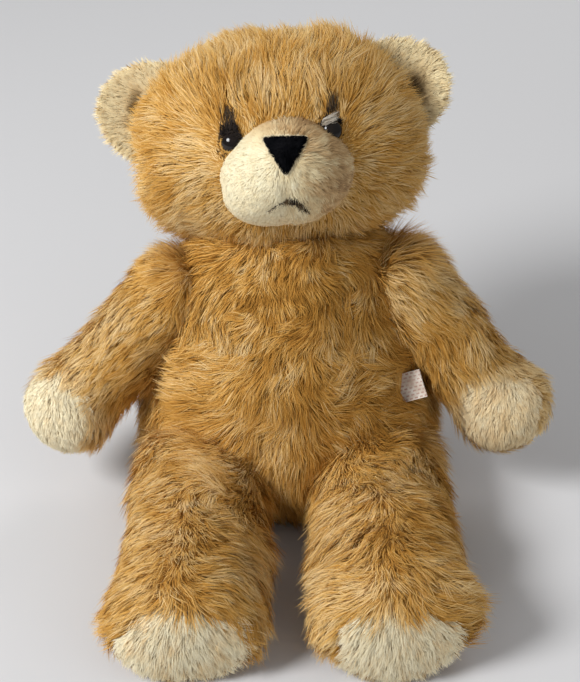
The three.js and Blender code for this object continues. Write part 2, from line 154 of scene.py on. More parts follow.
def waves(points, spacing, seed):
    """Smooth noise from about -1 to 1 that varies over about spacing metres."""
    own = np.random.default_rng(seed)
    ways = unit(own.normal(size=(9, 3))) * (2 * math.pi / spacing) * own.uniform(0.6, 1.4, (9, 1))
    starts = own.uniform(0, 2 * math.pi, 9)
    return np.sin(points @ ways.T + starts).sum(axis=1) / 3


def new_object(name, mesh):
    obj = bpy.data.objects.new(name, mesh)
    bpy.context.scene.collection.objects.link(obj)
    return obj


def mesh_from(name, points, triangles):
    """A smooth triangle mesh from arrays."""
    mesh = bpy.data.meshes.new(name)
    count = len(triangles)
    mesh.vertices.add(len(points))
    mesh.vertices.foreach_set("co", np.asarray(points, dtype=np.float32).ravel())
    mesh.loops.add(count * 3)
    mesh.loops.foreach_set("vertex_index", np.asarray(triangles, dtype=np.int32).ravel())
    mesh.polygons.add(count)
    mesh.polygons.foreach_set("loop_start", np.arange(0, count * 3, 3, dtype=np.int32))
    mesh.polygons.foreach_set("use_smooth", np.ones(count, dtype=bool))
    mesh.update(calc_edges=True)
    mesh.validate()
    return mesh


def grid_points(*values):
    """Points from one array for each axis, all spread over the same rows and columns."""
    return np.stack(np.broadcast_arrays(*values), axis=2).reshape(-1, len(values))


def grid_triangles(rows, columns, closed):
    """Triangles between a grid's neighbouring points; in a closed grid each row is a ring."""
    first = np.arange(columns if closed else columns - 1)
    start = np.arange(rows - 1)[:, None] * columns
    a = start + first
    b = start + (first + 1) % columns
    return np.stack([a, b, b + columns, a, b + columns, a + columns], axis=2).reshape(-1, 3)


def add_piece(name, mesh, material, nodes=()):
    """A piece of the bear: it rides on the one body and stands for the CAD nodes named."""
    obj = new_object(name, mesh)
    mesh.materials.clear()
    mesh.materials.append(material)
    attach(obj, "root")
    if nodes:
        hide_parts(*nodes)
    return obj


head_turn = np.array(Matrix.Rotation(HEAD_PITCH, 3, "X") @ Matrix.Rotation(HEAD_ROLL, 3, "Y"))
arm_ways = {side: unit(reach.astype(float)) for side, reach in ARM_REACH.items()}
pad_ways = {side: unit(faces) for side, faces in PAD_FACES.items()}


def from_head(points):
    return points @ head_turn.T + HEAD_MIDDLE


def to_head(points):
    return (points - HEAD_MIDDLE) @ head_turn


# Camera rays of the photograph

camera_ahead = np.array([0, math.cos(CAMERA_ELEVATION), -math.sin(CAMERA_ELEVATION)])
camera_up = np.array([0, math.sin(CAMERA_ELEVATION), math.cos(CAMERA_ELEVATION)])
camera_place = CAMERA_TARGET - CAMERA_DISTANCE * camera_ahead


def photo_ray(x, y):
    across = (x - PHOTO_WIDTH / 2) / PHOTO_FOCAL
    rise = (PHOTO_HEIGHT / 2 - y) / PHOTO_FOCAL
    return unit(camera_ahead + across * np.array([1, 0, 0]) + rise * camera_up)


# Materials

TIP_START = 0.25  # share of a strand's length where the tip's colour begins
SURFACE_RELIEF = 0.0005  # height of a surface's bumps
TAPE_RELIEF = 0.0003


def node_material(name):
    material = bpy.data.materials.new(name)
    material.use_nodes = True
    tree = material.node_tree
    shader = tree.nodes["Principled BSDF"]
    return material, tree, shader


def set_inputs(node, values):
    for name, value in values.items():
        node.inputs[name].default_value = value


def wire(start, output, end, entry):
    """Links an output of one shader node to an input of another."""
    end.id_data.links.new(start.outputs[output], end.inputs[entry])


def ramp_node(tree, stops):
    node = tree.nodes.new("ShaderNodeValToRGB")
    ramp = node.color_ramp
    while len(ramp.elements) > 1:
        ramp.elements.remove(ramp.elements[-1])
    for index, (place, color) in enumerate(stops):
        stop = ramp.elements[0] if index == 0 else ramp.elements.new(place)
        stop.position = place
        stop.color = (*color, 1)
    return node


def pile_material(name, tones, root_shade_stops, roughness, gloss=0.15):
    """Pile: the map's first axis picks the strand's tone, and its second runs from root to tip, with
    painted shade towards the root.
    """
    material, tree, shader = node_material(name)
    where = tree.nodes.new("ShaderNodeUVMap")
    where.uv_map = "OFBake"
    split = tree.nodes.new("ShaderNodeSeparateXYZ")
    wire(where, "UV", split, "Vector")
    tone = ramp_node(tree, [(place, stem) for place, stem, _ in tones])
    wire(split, "X", tone, "Fac")
    painted_shade_ramp = ramp_node(tree, root_shade_stops)
    wire(split, "Y", painted_shade_ramp, "Fac")
    stem = mix_node(tree, "MULTIPLY", tone, "Color", painted_shade_ramp)
    set_inputs(stem, {"Factor": 1})
    tip = ramp_node(tree, [(place, end) for place, _, end in tones])
    wire(split, "X", tip, "Fac")
    strand = mix_node(tree, "MIX", stem, "Result", tip)
    reach = tree.nodes.new("ShaderNodeMapRange")
    set_inputs(reach, {"From Min": TIP_START})
    wire(split, "Y", reach, "Value")
    wire(reach, "Result", strand, "Factor")
    wire(strand, "Result", shader, "Base Color")
    set_inputs(shader, {"Roughness": roughness, "Specular IOR Level": gloss})
    return material


def mix_node(tree, blend, first, output, ramp):
    """Mixes an output of one node with the colour of a ramp."""
    node = tree.nodes.new("ShaderNodeMix")
    node.data_type = "RGBA"
    node.blend_type = blend
    wire(first, output, node, "A")
    wire(ramp, "Color", node, "B")
    return node


def texture_node(tree, kind, where, output, values):
    """A texture that is read at an output of where, with its inputs set."""
    node = tree.nodes.new("ShaderNodeTex" + kind)
    set_inputs(node, values)
    wire(where, output, node, "Vector")
    return node


def add_relief(tree, shader, grain, strength, distance):
    """Bumps in a shader's normal, as high as a texture says."""
    relief = tree.nodes.new("ShaderNodeBump")
    set_inputs(relief, {"Strength": strength, "Distance": distance})
    wire(grain, "Fac", relief, "Height")
    wire(relief, "Normal", shader, "Normal")


def surface_material(name, low, high, spacing, roughness, bump, weave=None, gloss=0.2):
    """A surface whose colour wanders between two tones, with a fine bump; weave is a thread spacing."""
    material, tree, shader = node_material(name)
    where = tree.nodes.new("ShaderNodeTexCoord")
    cloud = texture_node(tree, "Noise", where, "Object", {"Scale": 1 / spacing, "Detail": 6})
    tone = ramp_node(tree, [(0.3, low), (0.7, high)])
    wire(cloud, "Fac", tone, "Fac")
    wire(tone, "Color", shader, "Base Color")
    rough = tree.nodes.new("ShaderNodeMapRange")
    set_inputs(rough, {"To Min": roughness[0], "To Max": roughness[1]})
    wire(cloud, "Fac", rough, "Value")
    wire(rough, "Result", shader, "Roughness")
    fine = {"Scale": 1 / (weave or spacing / 8), "Detail": 2}
    grain = texture_node(tree, "Wave" if weave else "Noise", where, "Object", fine)
    add_relief(tree, shader, grain, bump, SURFACE_RELIEF)
    set_inputs(shader, {"Specular IOR Level": gloss})
    return material


# Tones of the pile: a strand's tone from 0 to 1, then the colours of its stem and of its tip
GOLD_DARK = 0.02
GOLD_PALE = 0.58
# Tone of the black soot marks, also used for painted shade round the eyes
SOOT_AND_SHADE = 0.70
SOOT_BROWN = 0.80
GREY_HAIR = 0.94
PLUSH_TONES = [
    (0.0, (0.3, 0.14, 0.026), (0.4, 0.19, 0.032)),
    (0.15, (0.45, 0.204, 0.035), (0.585, 0.29, 0.054)),
    (0.3, (0.58, 0.288, 0.051), (0.725, 0.412, 0.106)),
    (0.45, (0.68, 0.39, 0.095), (0.83, 0.58, 0.245)),
    (0.62, (0.83, 0.56, 0.22), (0.93, 0.765, 0.465)),
    (0.66, (0.008, 0.007, 0.007), (0.012, 0.01, 0.01)),
    (0.74, (0.022, 0.016, 0.012), (0.04, 0.03, 0.024)),
    (0.84, (0.15, 0.095, 0.045), (0.26, 0.18, 0.095)),
    (0.88, (0.42, 0.35, 0.26), (0.48, 0.41, 0.32)),
    (1.0, (0.7, 0.64, 0.54), (0.76, 0.71, 0.62)),
]
CREAM_TONES = [
    (0.0, (0.33, 0.19, 0.085), (0.4, 0.25, 0.125)),
    (0.3, (0.64, 0.415, 0.195), (0.72, 0.495, 0.25)),
    (0.6, (0.85, 0.69, 0.4), (0.91, 0.77, 0.48)),
    (1.0, (0.97, 0.89, 0.62), (0.985, 0.935, 0.71)),
]
PAD_TONES = [
    (0.0, (0.33, 0.175, 0.075), (0.4, 0.235, 0.11)),
    (0.3, (0.63, 0.405, 0.19), (0.71, 0.475, 0.245)),
    (0.6, (0.9, 0.68, 0.37), (0.945, 0.75, 0.435)),
    (1.0, (0.995, 0.88, 0.59), (1.0, 0.925, 0.69)),
]
EAR_TONES = [
    (0.0, (0.02, 0.017, 0.014), (0.03, 0.026, 0.022)),
    (0.12, (0.26, 0.16, 0.065), (0.33, 0.22, 0.1)),
    (0.4, (0.66, 0.475, 0.235), (0.74, 0.57, 0.32)),
    (0.8, (0.85, 0.66, 0.35), (0.91, 0.75, 0.45)),
    (1.0, (0.93, 0.78, 0.47), (0.96, 0.85, 0.56)),
]
BLACK_TONES = [
    (0.0, (0.0016, 0.002, 0.0028), (0.0016, 0.002, 0.0028)),
    (1.0, (0.0085, 0.0085, 0.01), (0.0085, 0.0085, 0.01)),
]
# Multipliers from a strand's root to its tip: darker and more saturated at the root, partly the pile's
# golden undercoat and partly painted shade deep in the pile; the black pile's is painted shade only
PAINTED_ROOT_SHADE = [(0.0, (0.72, 0.63, 0.53)), (0.45, (0.94, 0.92, 0.90)), (1.0, (1.0, 1.0, 1.0))]
PAINTED_SHORT_ROOT_SHADE = [(0.0, (0.80, 0.75, 0.68)), (0.6, (0.97, 0.96, 0.95)), (1.0, (1.0, 1.0, 1.0))]
PAINTED_BLACK_ROOT_SHADE = [(0.0, (0.6, 0.6, 0.6)), (1.0, (1.0, 1.0, 1.0))]

plush_pile = pile_material("plush_pile", PLUSH_TONES, PAINTED_ROOT_SHADE, 0.7, gloss=0.06)
cream_pile = pile_material("cream_pile", CREAM_TONES, PAINTED_SHORT_ROOT_SHADE, 0.8)
pad_pile = pile_material("pad_pile", PAD_TONES, PAINTED_SHORT_ROOT_SHADE, 0.8)
ear_pile = pile_material("ear_pile", EAR_TONES, PAINTED_SHORT_ROOT_SHADE, 0.8)
black_pile = pile_material("black_pile", BLACK_TONES, PAINTED_BLACK_ROOT_SHADE, 1.0, gloss=0.02)
backings = {
    name: surface_material(name + "_backing", low, high, spacing, (0.85, 0.95), bump, weave=weave)
    for name, low, high, spacing, bump, weave in (
        ("plush", (0.40, 0.20, 0.04), (0.56, 0.30, 0.075), 0.02, 0.6, 0.004),
        ("muzzle", (0.76, 0.62, 0.38), (0.90, 0.78, 0.52), 0.015, 0.5, 0.003),
        ("cream", (0.64, 0.50, 0.29), (0.80, 0.65, 0.40), 0.015, 0.5, 0.003),
        ("ear", (0.42, 0.29, 0.13), (0.58, 0.43, 0.22), 0.012, 0.5, 0.003),
    )
}
nose_velvet = surface_material(
    "nose_velvet", (0.0016, 0.0020, 0.0028), (0.006, 0.006, 0.008), 0.004, (0.8, 0.95), 0.4, gloss=0.02
)
thread = surface_material(
    "thread", (0.008, 0.007, 0.006), (0.035, 0.027, 0.022), 0.003, (0.7, 0.9), 0.6, gloss=0.05
)
eye_plastic = surface_material(
    "eye_plastic", (0.004, 0.003, 0.003), (0.012, 0.008, 0.006), 0.006, (0.06, 0.16), 0.03, gloss=0.35
)
washer_plastic = surface_material(
    "washer_plastic", (0.60, 0.58, 0.54), (0.72, 0.70, 0.66), 0.006, (0.45, 0.65), 0.15
)
fibre_fill = surface_material("fibre_fill", (0.74, 0.71, 0.64), (0.90, 0.88, 0.83), 0.01, (0.9, 1.0), 0.8)


# Rows of plain bars, where such a label has its print
TAPE_BARS = {
    "Scale": 1, "Brick Width": 0.34, "Row Height": 0.25, "Mortar Size": 0.075,
    "Color1": (0.50, 0.30, 0.24, 1), "Color2": (0.66, 0.50, 0.42, 1),
}


def tape_material():
    """Yellowed woven tape with its rows of bars."""
    material, tree, shader = node_material("label_tape")
    where = tree.nodes.new("ShaderNodeUVMap")
    where.uv_map = "LabelMap"
    stain = texture_node(tree, "Noise", where, "UV", {"Scale": 1.2, "Detail": 5})
    tape = ramp_node(tree, [(0.35, (0.62, 0.50, 0.40)), (0.6, (0.84, 0.77, 0.69))])
    wire(stain, "Fac", tape, "Fac")
    bars = texture_node(tree, "Brick", where, "UV", TAPE_BARS)
    wire(tape, "Color", bars, "Mortar")
    wire(bars, "Color", shader, "Base Color")
    weave = texture_node(tree, "Wave", where, "UV", {"Scale": 9, "Distortion": 0.6})
    add_relief(tree, shader, weave, 0.4, TAPE_RELIEF)
    set_inputs(shader, {"Roughness": 0.75})
    return material


label_tape = tape_material()


# Soft skins


def copy_of_node(node, voxel, rounds):
    """A smoothed voxel remesh of a CAD solid, in a new mesh."""
    source = new_object(node + "_source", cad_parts[node].data.copy())
    remesh = source.modifiers.new("Remesh", "REMESH")
    remesh.mode = "VOXEL"
    remesh.voxel_size = voxel
    smooth = source.modifiers.new("Smooth", "SMOOTH")
    smooth.iterations = rounds
    graph = bpy.context.evaluated_depsgraph_get()
    mesh = bpy.data.meshes.new_from_object(source.evaluated_get(graph))
    bpy.data.objects.remove(source)
    return mesh


def ball(name, semi, level):
    """An oval ball in its own frame."""
    mesh = bpy.data.meshes.new(name)
    shape = bmesh.new()
    bmesh.ops.create_icosphere(shape, subdivisions=level, radius=1)
    shape.to_mesh(mesh)
    shape.free()
    mesh.transform(Matrix.Diagonal((*semi, 1)))
    return mesh


def points_of(mesh, what="co"):
    """The places of a mesh's points, or another vector that each has, such as its normal."""
    values = np.empty(len(mesh.vertices) * 3, dtype=np.float32)
    mesh.vertices.foreach_get(what, values)
    return values.reshape(-1, 3).astype(float)


def set_points(mesh, points):
    mesh.vertices.foreach_set("co", np.asarray(points, dtype=np.float32).ravel())
    mesh.update()


def triangles_of(mesh):
    mesh.calc_loop_triangles()
    triangles = np.empty(len(mesh.loop_triangles) * 3, dtype=np.int32)
    mesh.loop_triangles.foreach_get("vertices", triangles)
    return triangles.reshape(-1, 3)


def blow_up(mesh):
    """Cloth under pressure: how far each point of a closed skin moves, about SWELL outwards."""
    start = points_of(mesh)
    normals = points_of(mesh, "normal")
    obj = new_object("blown_skin", mesh)
    cloth = obj.modifiers.new("Cloth", "CLOTH")
    settings = cloth.settings
    settings.quality = CLOTH_QUALITY
    settings.mass = CLOTH_MASS
    settings.use_pressure = True
    settings.uniform_pressure_force = CLOTH_PRESSURE
    settings.effector_weights.gravity = 0
    cloth.point_cache.frame_start = 1
    cloth.point_cache.frame_end = CLOTH_STEPS
    scene = bpy.context.scene
    for step in range(1, CLOTH_STEPS + 1):
        scene.frame_set(step)
    graph = bpy.context.evaluated_depsgraph_get()
    moved = points_of(obj.evaluated_get(graph).data) - start
    scene.frame_set(1)
    bpy.data.objects.remove(obj)
    outward = dot(moved, normals)
    aside = moved - outward[:, None] * normals
    reach = np.linalg.norm(aside, axis=1, keepdims=True)
    aside = aside * np.minimum(1, SWELL_SPREAD / np.maximum(reach, 1e-9))
    outward = np.clip(outward - np.median(outward), -SWELL_SPREAD, SWELL_SPREAD) + SWELL
    return aside + outward[:, None] * normals


class Skin:
    """A closed soft form with its points, outward normals, triangles and a search tree."""

    def __init__(self, mesh):
        self.points = points_of(mesh)
        self.normals = points_of(mesh, "normal")
        self.triangles = triangles_of(mesh)
        self.tree = BVHTree.FromPolygons(self.points.tolist(), self.triangles.tolist())

    def centres(self, triangles):
        return self.points[triangles].mean(axis=1)

    def crossed(self, triangles):
        """The normals of triangles, each as long as twice the triangle's area."""
        a, b, c = (self.points[triangles[:, i]] for i in range(3))
        return np.cross(b - a, c - a)

    def facing(self, triangles):
        return unit(self.crossed(triangles))

    def areas(self, triangles):
        return lengths(self.crossed(triangles)) / 2

    def contains(self, points):
        """Whether points are inside, by how often a ray from each crosses the skin."""
        way = Vector((0.31, 0.17, 0.93)).normalized()
        result = np.zeros(len(points), dtype=bool)
        for index, point in enumerate(points):
            start = Vector(point)
            place = self.tree.ray_cast(start, way)[0]
            while place is not None:
                result[index] = not result[index]
                place = self.tree.ray_cast(place + way * 1e-5, way)[0]
        return result

    def nearest(self, points):
        """Distance of points from this skin, and the skin's normal there."""
        distance = np.empty(len(points))
        normal = np.empty((len(points), 3))
        for index, point in enumerate(points):
            _, normal[index], _, distance[index] = self.tree.find_nearest(point)
        return distance, normal


def soft_skin(mesh, seed):
    """Blows a stuffing form up to the outside of its plush and gives it the stuffing's lumps."""
    moved = blow_up(mesh)
    points = points_of(mesh)
    normals = points_of(mesh, "normal")
    lumps = waves(points, LUMP_SPACING, seed) * LUMP
    points = points + moved + normals * (PLUSH - SWELL + np.maximum(lumps, -SKIN_SINK))[:, None]
    points[:, 2] = np.maximum(points[:, 2], FLOOR_GAP)
    set_points(mesh, points)
    return Skin(mesh)


def head_skin():
    """The head: an oval ball with fuller cheeks, in the bear's frame."""
    mesh = ball("head_form", HEAD_SEMI - PLUSH, 5)
    points = points_of(mesh)
    low = ease(-points[:, 2], -0.01, 0.05)
    side = ease(np.abs(points[:, 0]), 0.03, 0.09)
    points[:, 0] *= 1 + 0.05 * low * side
    crown = ease(points[:, 2], 0.005, 0.05) * ease(-points[:, 0], 0.02, 0.07)
    points *= 1 + 0.08 * crown[:, None]
    set_points(mesh, from_head(points))
    return soft_skin(mesh, 11)


def muzzle_skin():
    """The muzzle: a short oval with a groove down from the nose."""
    mesh = ball("muzzle_form", MUZZLE_SEMI + np.array([0.0015, 0, 0.002]), 5)
    points = points_of(mesh)
    groove = fade(points[:, 0], 0.004) * ease(-points[:, 2], 0.0, 0.016)
    cheek = ease(np.abs(points[:, 0]), 0.008, 0.02) * ease(-points[:, 2], -0.004, 0.014)
    points[:, 1] += 0.0022 * groove - 0.0014 * cheek
    points[:, 0] *= 1 - 0.15 * ease(points[:, 2], 0.002, 0.028)
    jowl = ease(-points[:, 0], 0.0, 0.03) * ease(-points[:, 2], 0.002, 0.022)
    points[:, (0, 2)] *= 1 + 0.12 * jowl[:, None]
    set_points(mesh, from_head(points + MUZZLE_MIDDLE))
    return Skin(mesh)


skins = {
    "torso": soft_skin(copy_of_node("torso_stuffing", VOXEL, 4), 3),
    "head": head_skin(),
    "muzzle": muzzle_skin(),
}
for side in SIDES:
    skins[side + "_arm"] = soft_skin(copy_of_node(side + "_arm_stuffing", VOXEL, 3), 5)
    skins[side + "_leg"] = soft_skin(copy_of_node(side + "_leg_stuffing", VOXEL, 4), 7)
    for panel in ("_ear_lining", "_ear_back"):
        skins[side + panel] = Skin(copy_of_node(side + panel, EAR_VOXEL, 3))
NEIGHBOURS = {
    "torso": ["head", "right_arm", "left_arm", "right_leg", "left_leg"],
    "head": ["torso", "muzzle", "right_ear_lining", "left_ear_lining", "right_ear_back", "left_ear_back"],
    "muzzle": ["head"],
}
for side in SIDES:
    NEIGHBOURS[side + "_arm"] = ["torso", "head"]
    NEIGHBOURS[side + "_leg"] = ["torso"]
    NEIGHBOURS[side + "_ear_lining"] = ["head", side + "_ear_back"]
    NEIGHBOURS[side + "_ear_back"] = ["head", side + "_ear_lining"]


def open_triangles(name):
    """The triangles of a skin that no neighbour covers."""
    skin = skins[name]
    centres = skin.centres(skin.triangles)
    facing = skin.facing(skin.triangles)
    free = np.ones(len(centres), dtype=bool)
    for other in NEIGHBOURS[name]:
        distance, normal = skins[other].nearest(centres)
        against = dot(facing, normal) < -0.3
        buried = skins[other].contains(centres) & (distance > BURIED)
        free &= ~(buried | ((distance < SEAM_NEAR) & against))
    return skin.triangles[free]


def kept_mesh(name, skin, triangles):
    """A mesh of some of a skin's triangles, without loose points."""
    used, compact = np.unique(triangles, return_inverse=True)
    return mesh_from(name, skin.points[used], compact.reshape(-1, 3))


shown = {name: open_triangles(name) for name in skins}


# Pads: the part of a limb's skin that is another cloth


def paw_middle(side):
    return ARM_ROOTS[side] + arm_ways[side] * (ARM_LENGTH - PAW_RADIUS)


def from_paw(side, points):
    """How far points are ahead of a paw's middle, the way its pad faces, and how far aside of that."""
    away = points - paw_middle(side)
    ahead = away @ pad_ways[side]
    return ahead, lengths(away - ahead[:, None] * pad_ways[side])


def in_paw_pad(side, points):
    ahead, aside = from_paw(side, points)
    ragged = 1 + 0.06 * waves(points, 0.02, 21)
    return (ahead > 0) & (aside < PAW_RADIUS * PAD_SHARE * ragged)


def in_sole_pad(side, points):
    leg_middle = SIDES[side] * (SOLE_ACROSS + SOLE_ASIDE)
    across = (points[:, 0] - leg_middle) / (FOOT_RADIUS * SOLE_WIDE * SOLE_WORN)
    tall = (points[:, 2] - LEG_AXIS_HEIGHT) / (FOOT_RADIUS * SOLE_TALL)
    ragged = 1 + 0.08 * waves(points, 0.025, 23)
    return (points[:, 1] < SOLE_START) & (np.hypot(across, tall) < ragged)


for side in SIDES:
    for limb, pad, inside in (("_arm", "_paw_pad", in_paw_pad), ("_leg", "_sole_pad", in_sole_pad)):
        skin = skins[side + limb]
        triangles = shown[side + limb]
        in_pad = inside(side, skin.centres(triangles))
        skins[side + pad] = skin
        shown[side + pad] = triangles[in_pad]
        shown[side + limb] = triangles[~in_pad]

# Each skin's cloth, slot and share of fill
COVERS = {
    "torso": ("plush", "plush", 0.85),
    "head": ("plush", "plush", 0.9),
    "muzzle": ("muzzle", "muzzle_pile", 0.9),
}
for side in SIDES:
    for limb in ("_arm", "_leg"):
        COVERS[side + limb] = ("plush", "plush", 0.8)
    for pad in ("_paw_pad", "_sole_pad"):
        COVERS[side + pad] = ("cream", "pad_pile", 0.8)
    COVERS[side + "_ear_lining"] = ("ear", "ear_pile", 0.3)
    COVERS[side + "_ear_back"] = ("plush", "plush", 0.3)
for name, (cloth, slot, fill) in COVERS.items():
    mesh = kept_mesh(name + "_skin", skins[name], shown[name])
    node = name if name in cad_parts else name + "_cover"
    add_piece(name + "_skin", mesh, backings[cloth], [node])


# Combing: the way the pile lies, and strokes of the brush by photograph pixels: place, then direction
COMB_REACH = 0.028
STROKES = [
    (175, 285, -1.0, 0.15), (160, 310, -0.9, 0.45), (175, 335, -0.6, 0.85), (205, 292, -0.8, 0.5),
    (205, 322, -0.5, 0.9), (235, 275, -0.5, 0.6), (285, 265, 0.0, 1.0), (368, 275, 0.7, 0.6),
    (200, 258, -1.0, -0.4), (222, 262, -0.9, 0.3), (182, 276, -1.0, 0.0), (182, 266, -0.8, -0.5),
    (378, 252, 0.9, -0.5), (402, 262, 0.8, -0.5), (420, 272, 1.0, 0.1), (415, 297, 0.7, 0.7),
    (410, 325, 0.3, 1.0), (215, 340, -0.9, 0.5), (260, 340, -0.5, 0.9), (320, 340, 0.35, 0.95),
    (375, 340, 0.6, 0.8), (200, 410, -1.0, 0.25), (215, 460, -0.9, 0.5), (270, 430, -0.8, 0.5),
    (305, 430, 0.6, 0.8), (360, 430, 0.6, 0.8), (290, 490, 0.0, 1.0), (340, 490, 0.3, 0.95),
    (150, 525, -0.7, 0.3), (200, 525, 0.1, 1.0), (245, 535, 0.6, 0.8), (150, 570, -0.8, -0.1),
    (215, 575, 0.8, 0.3), (190, 560, 0.2, 0.9), (145, 600, -0.8, 0.5), (232, 600, 0.8, 0.5),
    (190, 610, 0.0, 1.0), (345, 540, -0.5, 0.6), (345, 580, -0.9, 0.3), (348, 610, -0.8, 0.5),
    (380, 530, 0.0, 1.0), (400, 560, 0.1, 1.0), (430, 540, 0.6, 0.8), (440, 580, 0.8, 0.2),
    (455, 600, 0.9, -0.1), (400, 600, -0.1, 1.0),
]
BODY = ("torso", "right_arm", "left_arm", "right_leg", "left_leg")


def tree_of(names):
    """One search tree of several skins."""
    points, triangles, count = [], [], 0
    for name in names:
        points.append(skins[name].points)
        triangles.append(skins[name].triangles + count)
        count += len(skins[name].points)
    return BVHTree.FromPolygons(np.concatenate(points).tolist(), np.concatenate(triangles).tolist())


body_tree = tree_of(BODY)


def seen_point(tree, x, y):
    """The point of a search tree that a photograph pixel shows, or the nearest one if it just misses."""
    ray = photo_ray(x, y)
    place, _, _, _ = tree.ray_cast(camera_place, ray)
    if place is None:
        place, _, _, _ = tree.find_nearest(camera_place + ray * CAMERA_DISTANCE)
    return np.array(place)


stroke_places = np.array([seen_point(body_tree, x, y) for x, y, _, _ in STROKES])
stroke_ways = np.array([unit(np.array([1, 0, 0]) * dx - camera_up * dy) for _, _, dx, dy in STROKES])


def stroked(points, ways):
    """Ways changed near the strokes of the brush."""
    apart = np.linalg.norm(points[:, None, :] - stroke_places[None], axis=2)
    weight = fade(apart, COMB_REACH)
    total = weight.sum(axis=1, keepdims=True)
    brushed = (weight @ stroke_ways) / np.maximum(total, 1e-9)
    share = np.clip(total * 1.5, 0, 1)
    return ways * (1 - share) + brushed * share


def placed(patches):
    """Patches with their places on the body instead of their photograph pixels."""
    return [(seen_point(body_tree, x, y), reach, amount) for x, y, reach, amount in patches]


# Patches by photograph pixels: place, reach in metres, and the change of tone there. Most are the plush's
# own tone; the dark ones at (393, 350) and (375, 400), on the belly below the bear's left arm, are painted
# shade.
STAINS_AND_SHADE = placed([
    (375, 400, 0.035, -0.09), (200, 275, 0.02, -0.06), (393, 350, 0.02, -0.12),
    (408, 605, 0.012, -0.08), (174, 590, 0.012, -0.08), (240, 492, 0.012, -0.12), (206, 332, 0.01, 0.1),
    (345, 560, 0.018, 0.08), (230, 400, 0.03, 0.04), (290, 320, 0.03, -0.04), (85, 385, 0.025, 0.14),
    (500, 378, 0.025, 0.08), (195, 555, 0.026, -0.07), (400, 575, 0.026, -0.06),
    (248, 570, 0.018, 0.08), (330, 575, 0.018, 0.08),
])
# Tufts and worn places: place, reach in metres, and by what share the pile is longer there
TUFTS = placed([
    (455, 600, 0.014, 0.4), (142, 525, 0.034, -0.45), (246, 530, 0.02, 0.35), (342, 530, 0.02, 0.35),
    (285, 285, 0.05, -0.32), (240, 290, 0.03, -0.2), (500, 385, 0.028, -0.35), (80, 390, 0.028, -0.35),
    (405, 260, 0.016, 0.6), (160, 280, 0.03, -0.35), (182, 266, 0.014, 0.7), (207, 265, 0.02, 0.4),
    (380, 252, 0.014, 0.9),
])
# Matted places: place, reach in metres, and how much more the pile is ruffled there
MATTED = placed([
    (285, 290, 0.05, 1.0), (250, 330, 0.03, 0.6), (372, 425, 0.036, 1.2), (345, 375, 0.04, 0.8),
    (225, 500, 0.022, 0.9), (180, 575, 0.02, 0.6), (405, 600, 0.02, 0.7),
])


def patchy(points, patches):
    """The sum of the patches' amounts at points, each fading with distance."""
    total = np.zeros(len(points))
    for place, reach, amount in patches:
        total += amount * fade(lengths(points - place), reach)
    return total


def torso_way(points):
    ways = np.zeros_like(points)
    ways[:, 0] = points[:, 0] * 6
    ways[:, 2] = -0.8
    return stroked(points, ways)


def head_way(points):
    own = to_head(points)
    ways = own - np.array([0, -0.080, -0.010])
    above = ease(own[:, 2], -0.01, 0.03) * (1 - ease(np.abs(own[:, 0]), 0.05, 0.09))
    ways[:, 0] *= 1 - 0.75 * above
    behind = ease(own[:, 1], 0.0, 0.06)[:, None]
    ways = unit(ways) * (1 - behind) + np.array([0, 0.2, -1.0]) * behind
    return ways @ head_turn.T


def arm_way(side):
    way = arm_ways[side] + np.array([0, 0, -0.25])
    return lambda points: stroked(points, np.tile(way, (len(points), 1)))


def leg_way(side):
    def ways(points):
        away = points[:, 0] - SIDES[side] * LEG_ACROSS
        made = np.zeros_like(points)
        made[:, 0] = away * 14
        made[:, 1] = -0.8
        made[:, 2] = -0.2
        return stroked(points, made)

    return ways


def outward_way(middle):
    return lambda points: points - middle


def ruffled(points, normals, ways, amount, seed):
    """Ways turned about the skin's normal by smooth noise, as worn pile lies."""
    angle = amount * (waves(points, 0.060, seed) * 0.55 + waves(points, 0.024, seed + 1) * 0.35)
    ways = along_skin(ways, normals)
    return swung(ways, np.cross(normals, ways), angle)


# Pile


def scatter(name, per_area, back_share):
    """Random roots on the shown skin, fewer where the photograph's camera can't see."""
    skin = skins[name]
    triangles = shown[name]
    centres = skin.centres(triangles)
    seen = dot(skin.facing(triangles), unit(camera_place - centres))
    amount = back_share + (1 - back_share) * ease(seen, -0.35, 0.05)
    weight = skin.areas(triangles) * amount
    count = int(weight.sum() * per_area)
    chosen = triangles[chance.choice(len(triangles), count, p=weight / weight.sum())]
    share = np.sort(chance.random((count, 2)), axis=1)
    parts = np.stack([share[:, 0], share[:, 1] - share[:, 0], 1 - share[:, 1]], axis=1)[:, :, None]
    roots = (skin.points[chosen] * parts).sum(axis=1)
    normals = unit((skin.normals[chosen] * parts).sum(axis=1))
    return roots, normals


def leaders(roots, size):
    """For each strand, the strand that leads its tuft of about size strands."""
    count = len(roots)
    heads = chance.choice(count, max(1, count // size), replace=False)
    tree = KDTree(len(heads))
    for head in heads:
        tree.insert(roots[head], int(head))
    tree.balance()
    shifted = roots + chance.normal(0, 0.0005, roots.shape)
    return np.array([tree.find(root)[1] for root in shifted])


BINS = 64
STRANDS_A_PIECE = 62000
LABEL_CLEAR = 0.0125
LABEL_AHEAD = 0.009
BEND_SHARE = 0.45  # of a strand's length, from its foot
ROOT_SINK = 0.0006  # how far under the skin a strand begins


def over_label(points):
    """Whether points are in the space in front of the care label, where the pile is parted."""
    low, high = (np.array(corner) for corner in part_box("care_label"))
    middle = (low + high) / 2
    front = middle - camera_ahead * LABEL_AHEAD
    return np.minimum(lengths(points - middle), lengths(points - front)) < LABEL_CLEAR


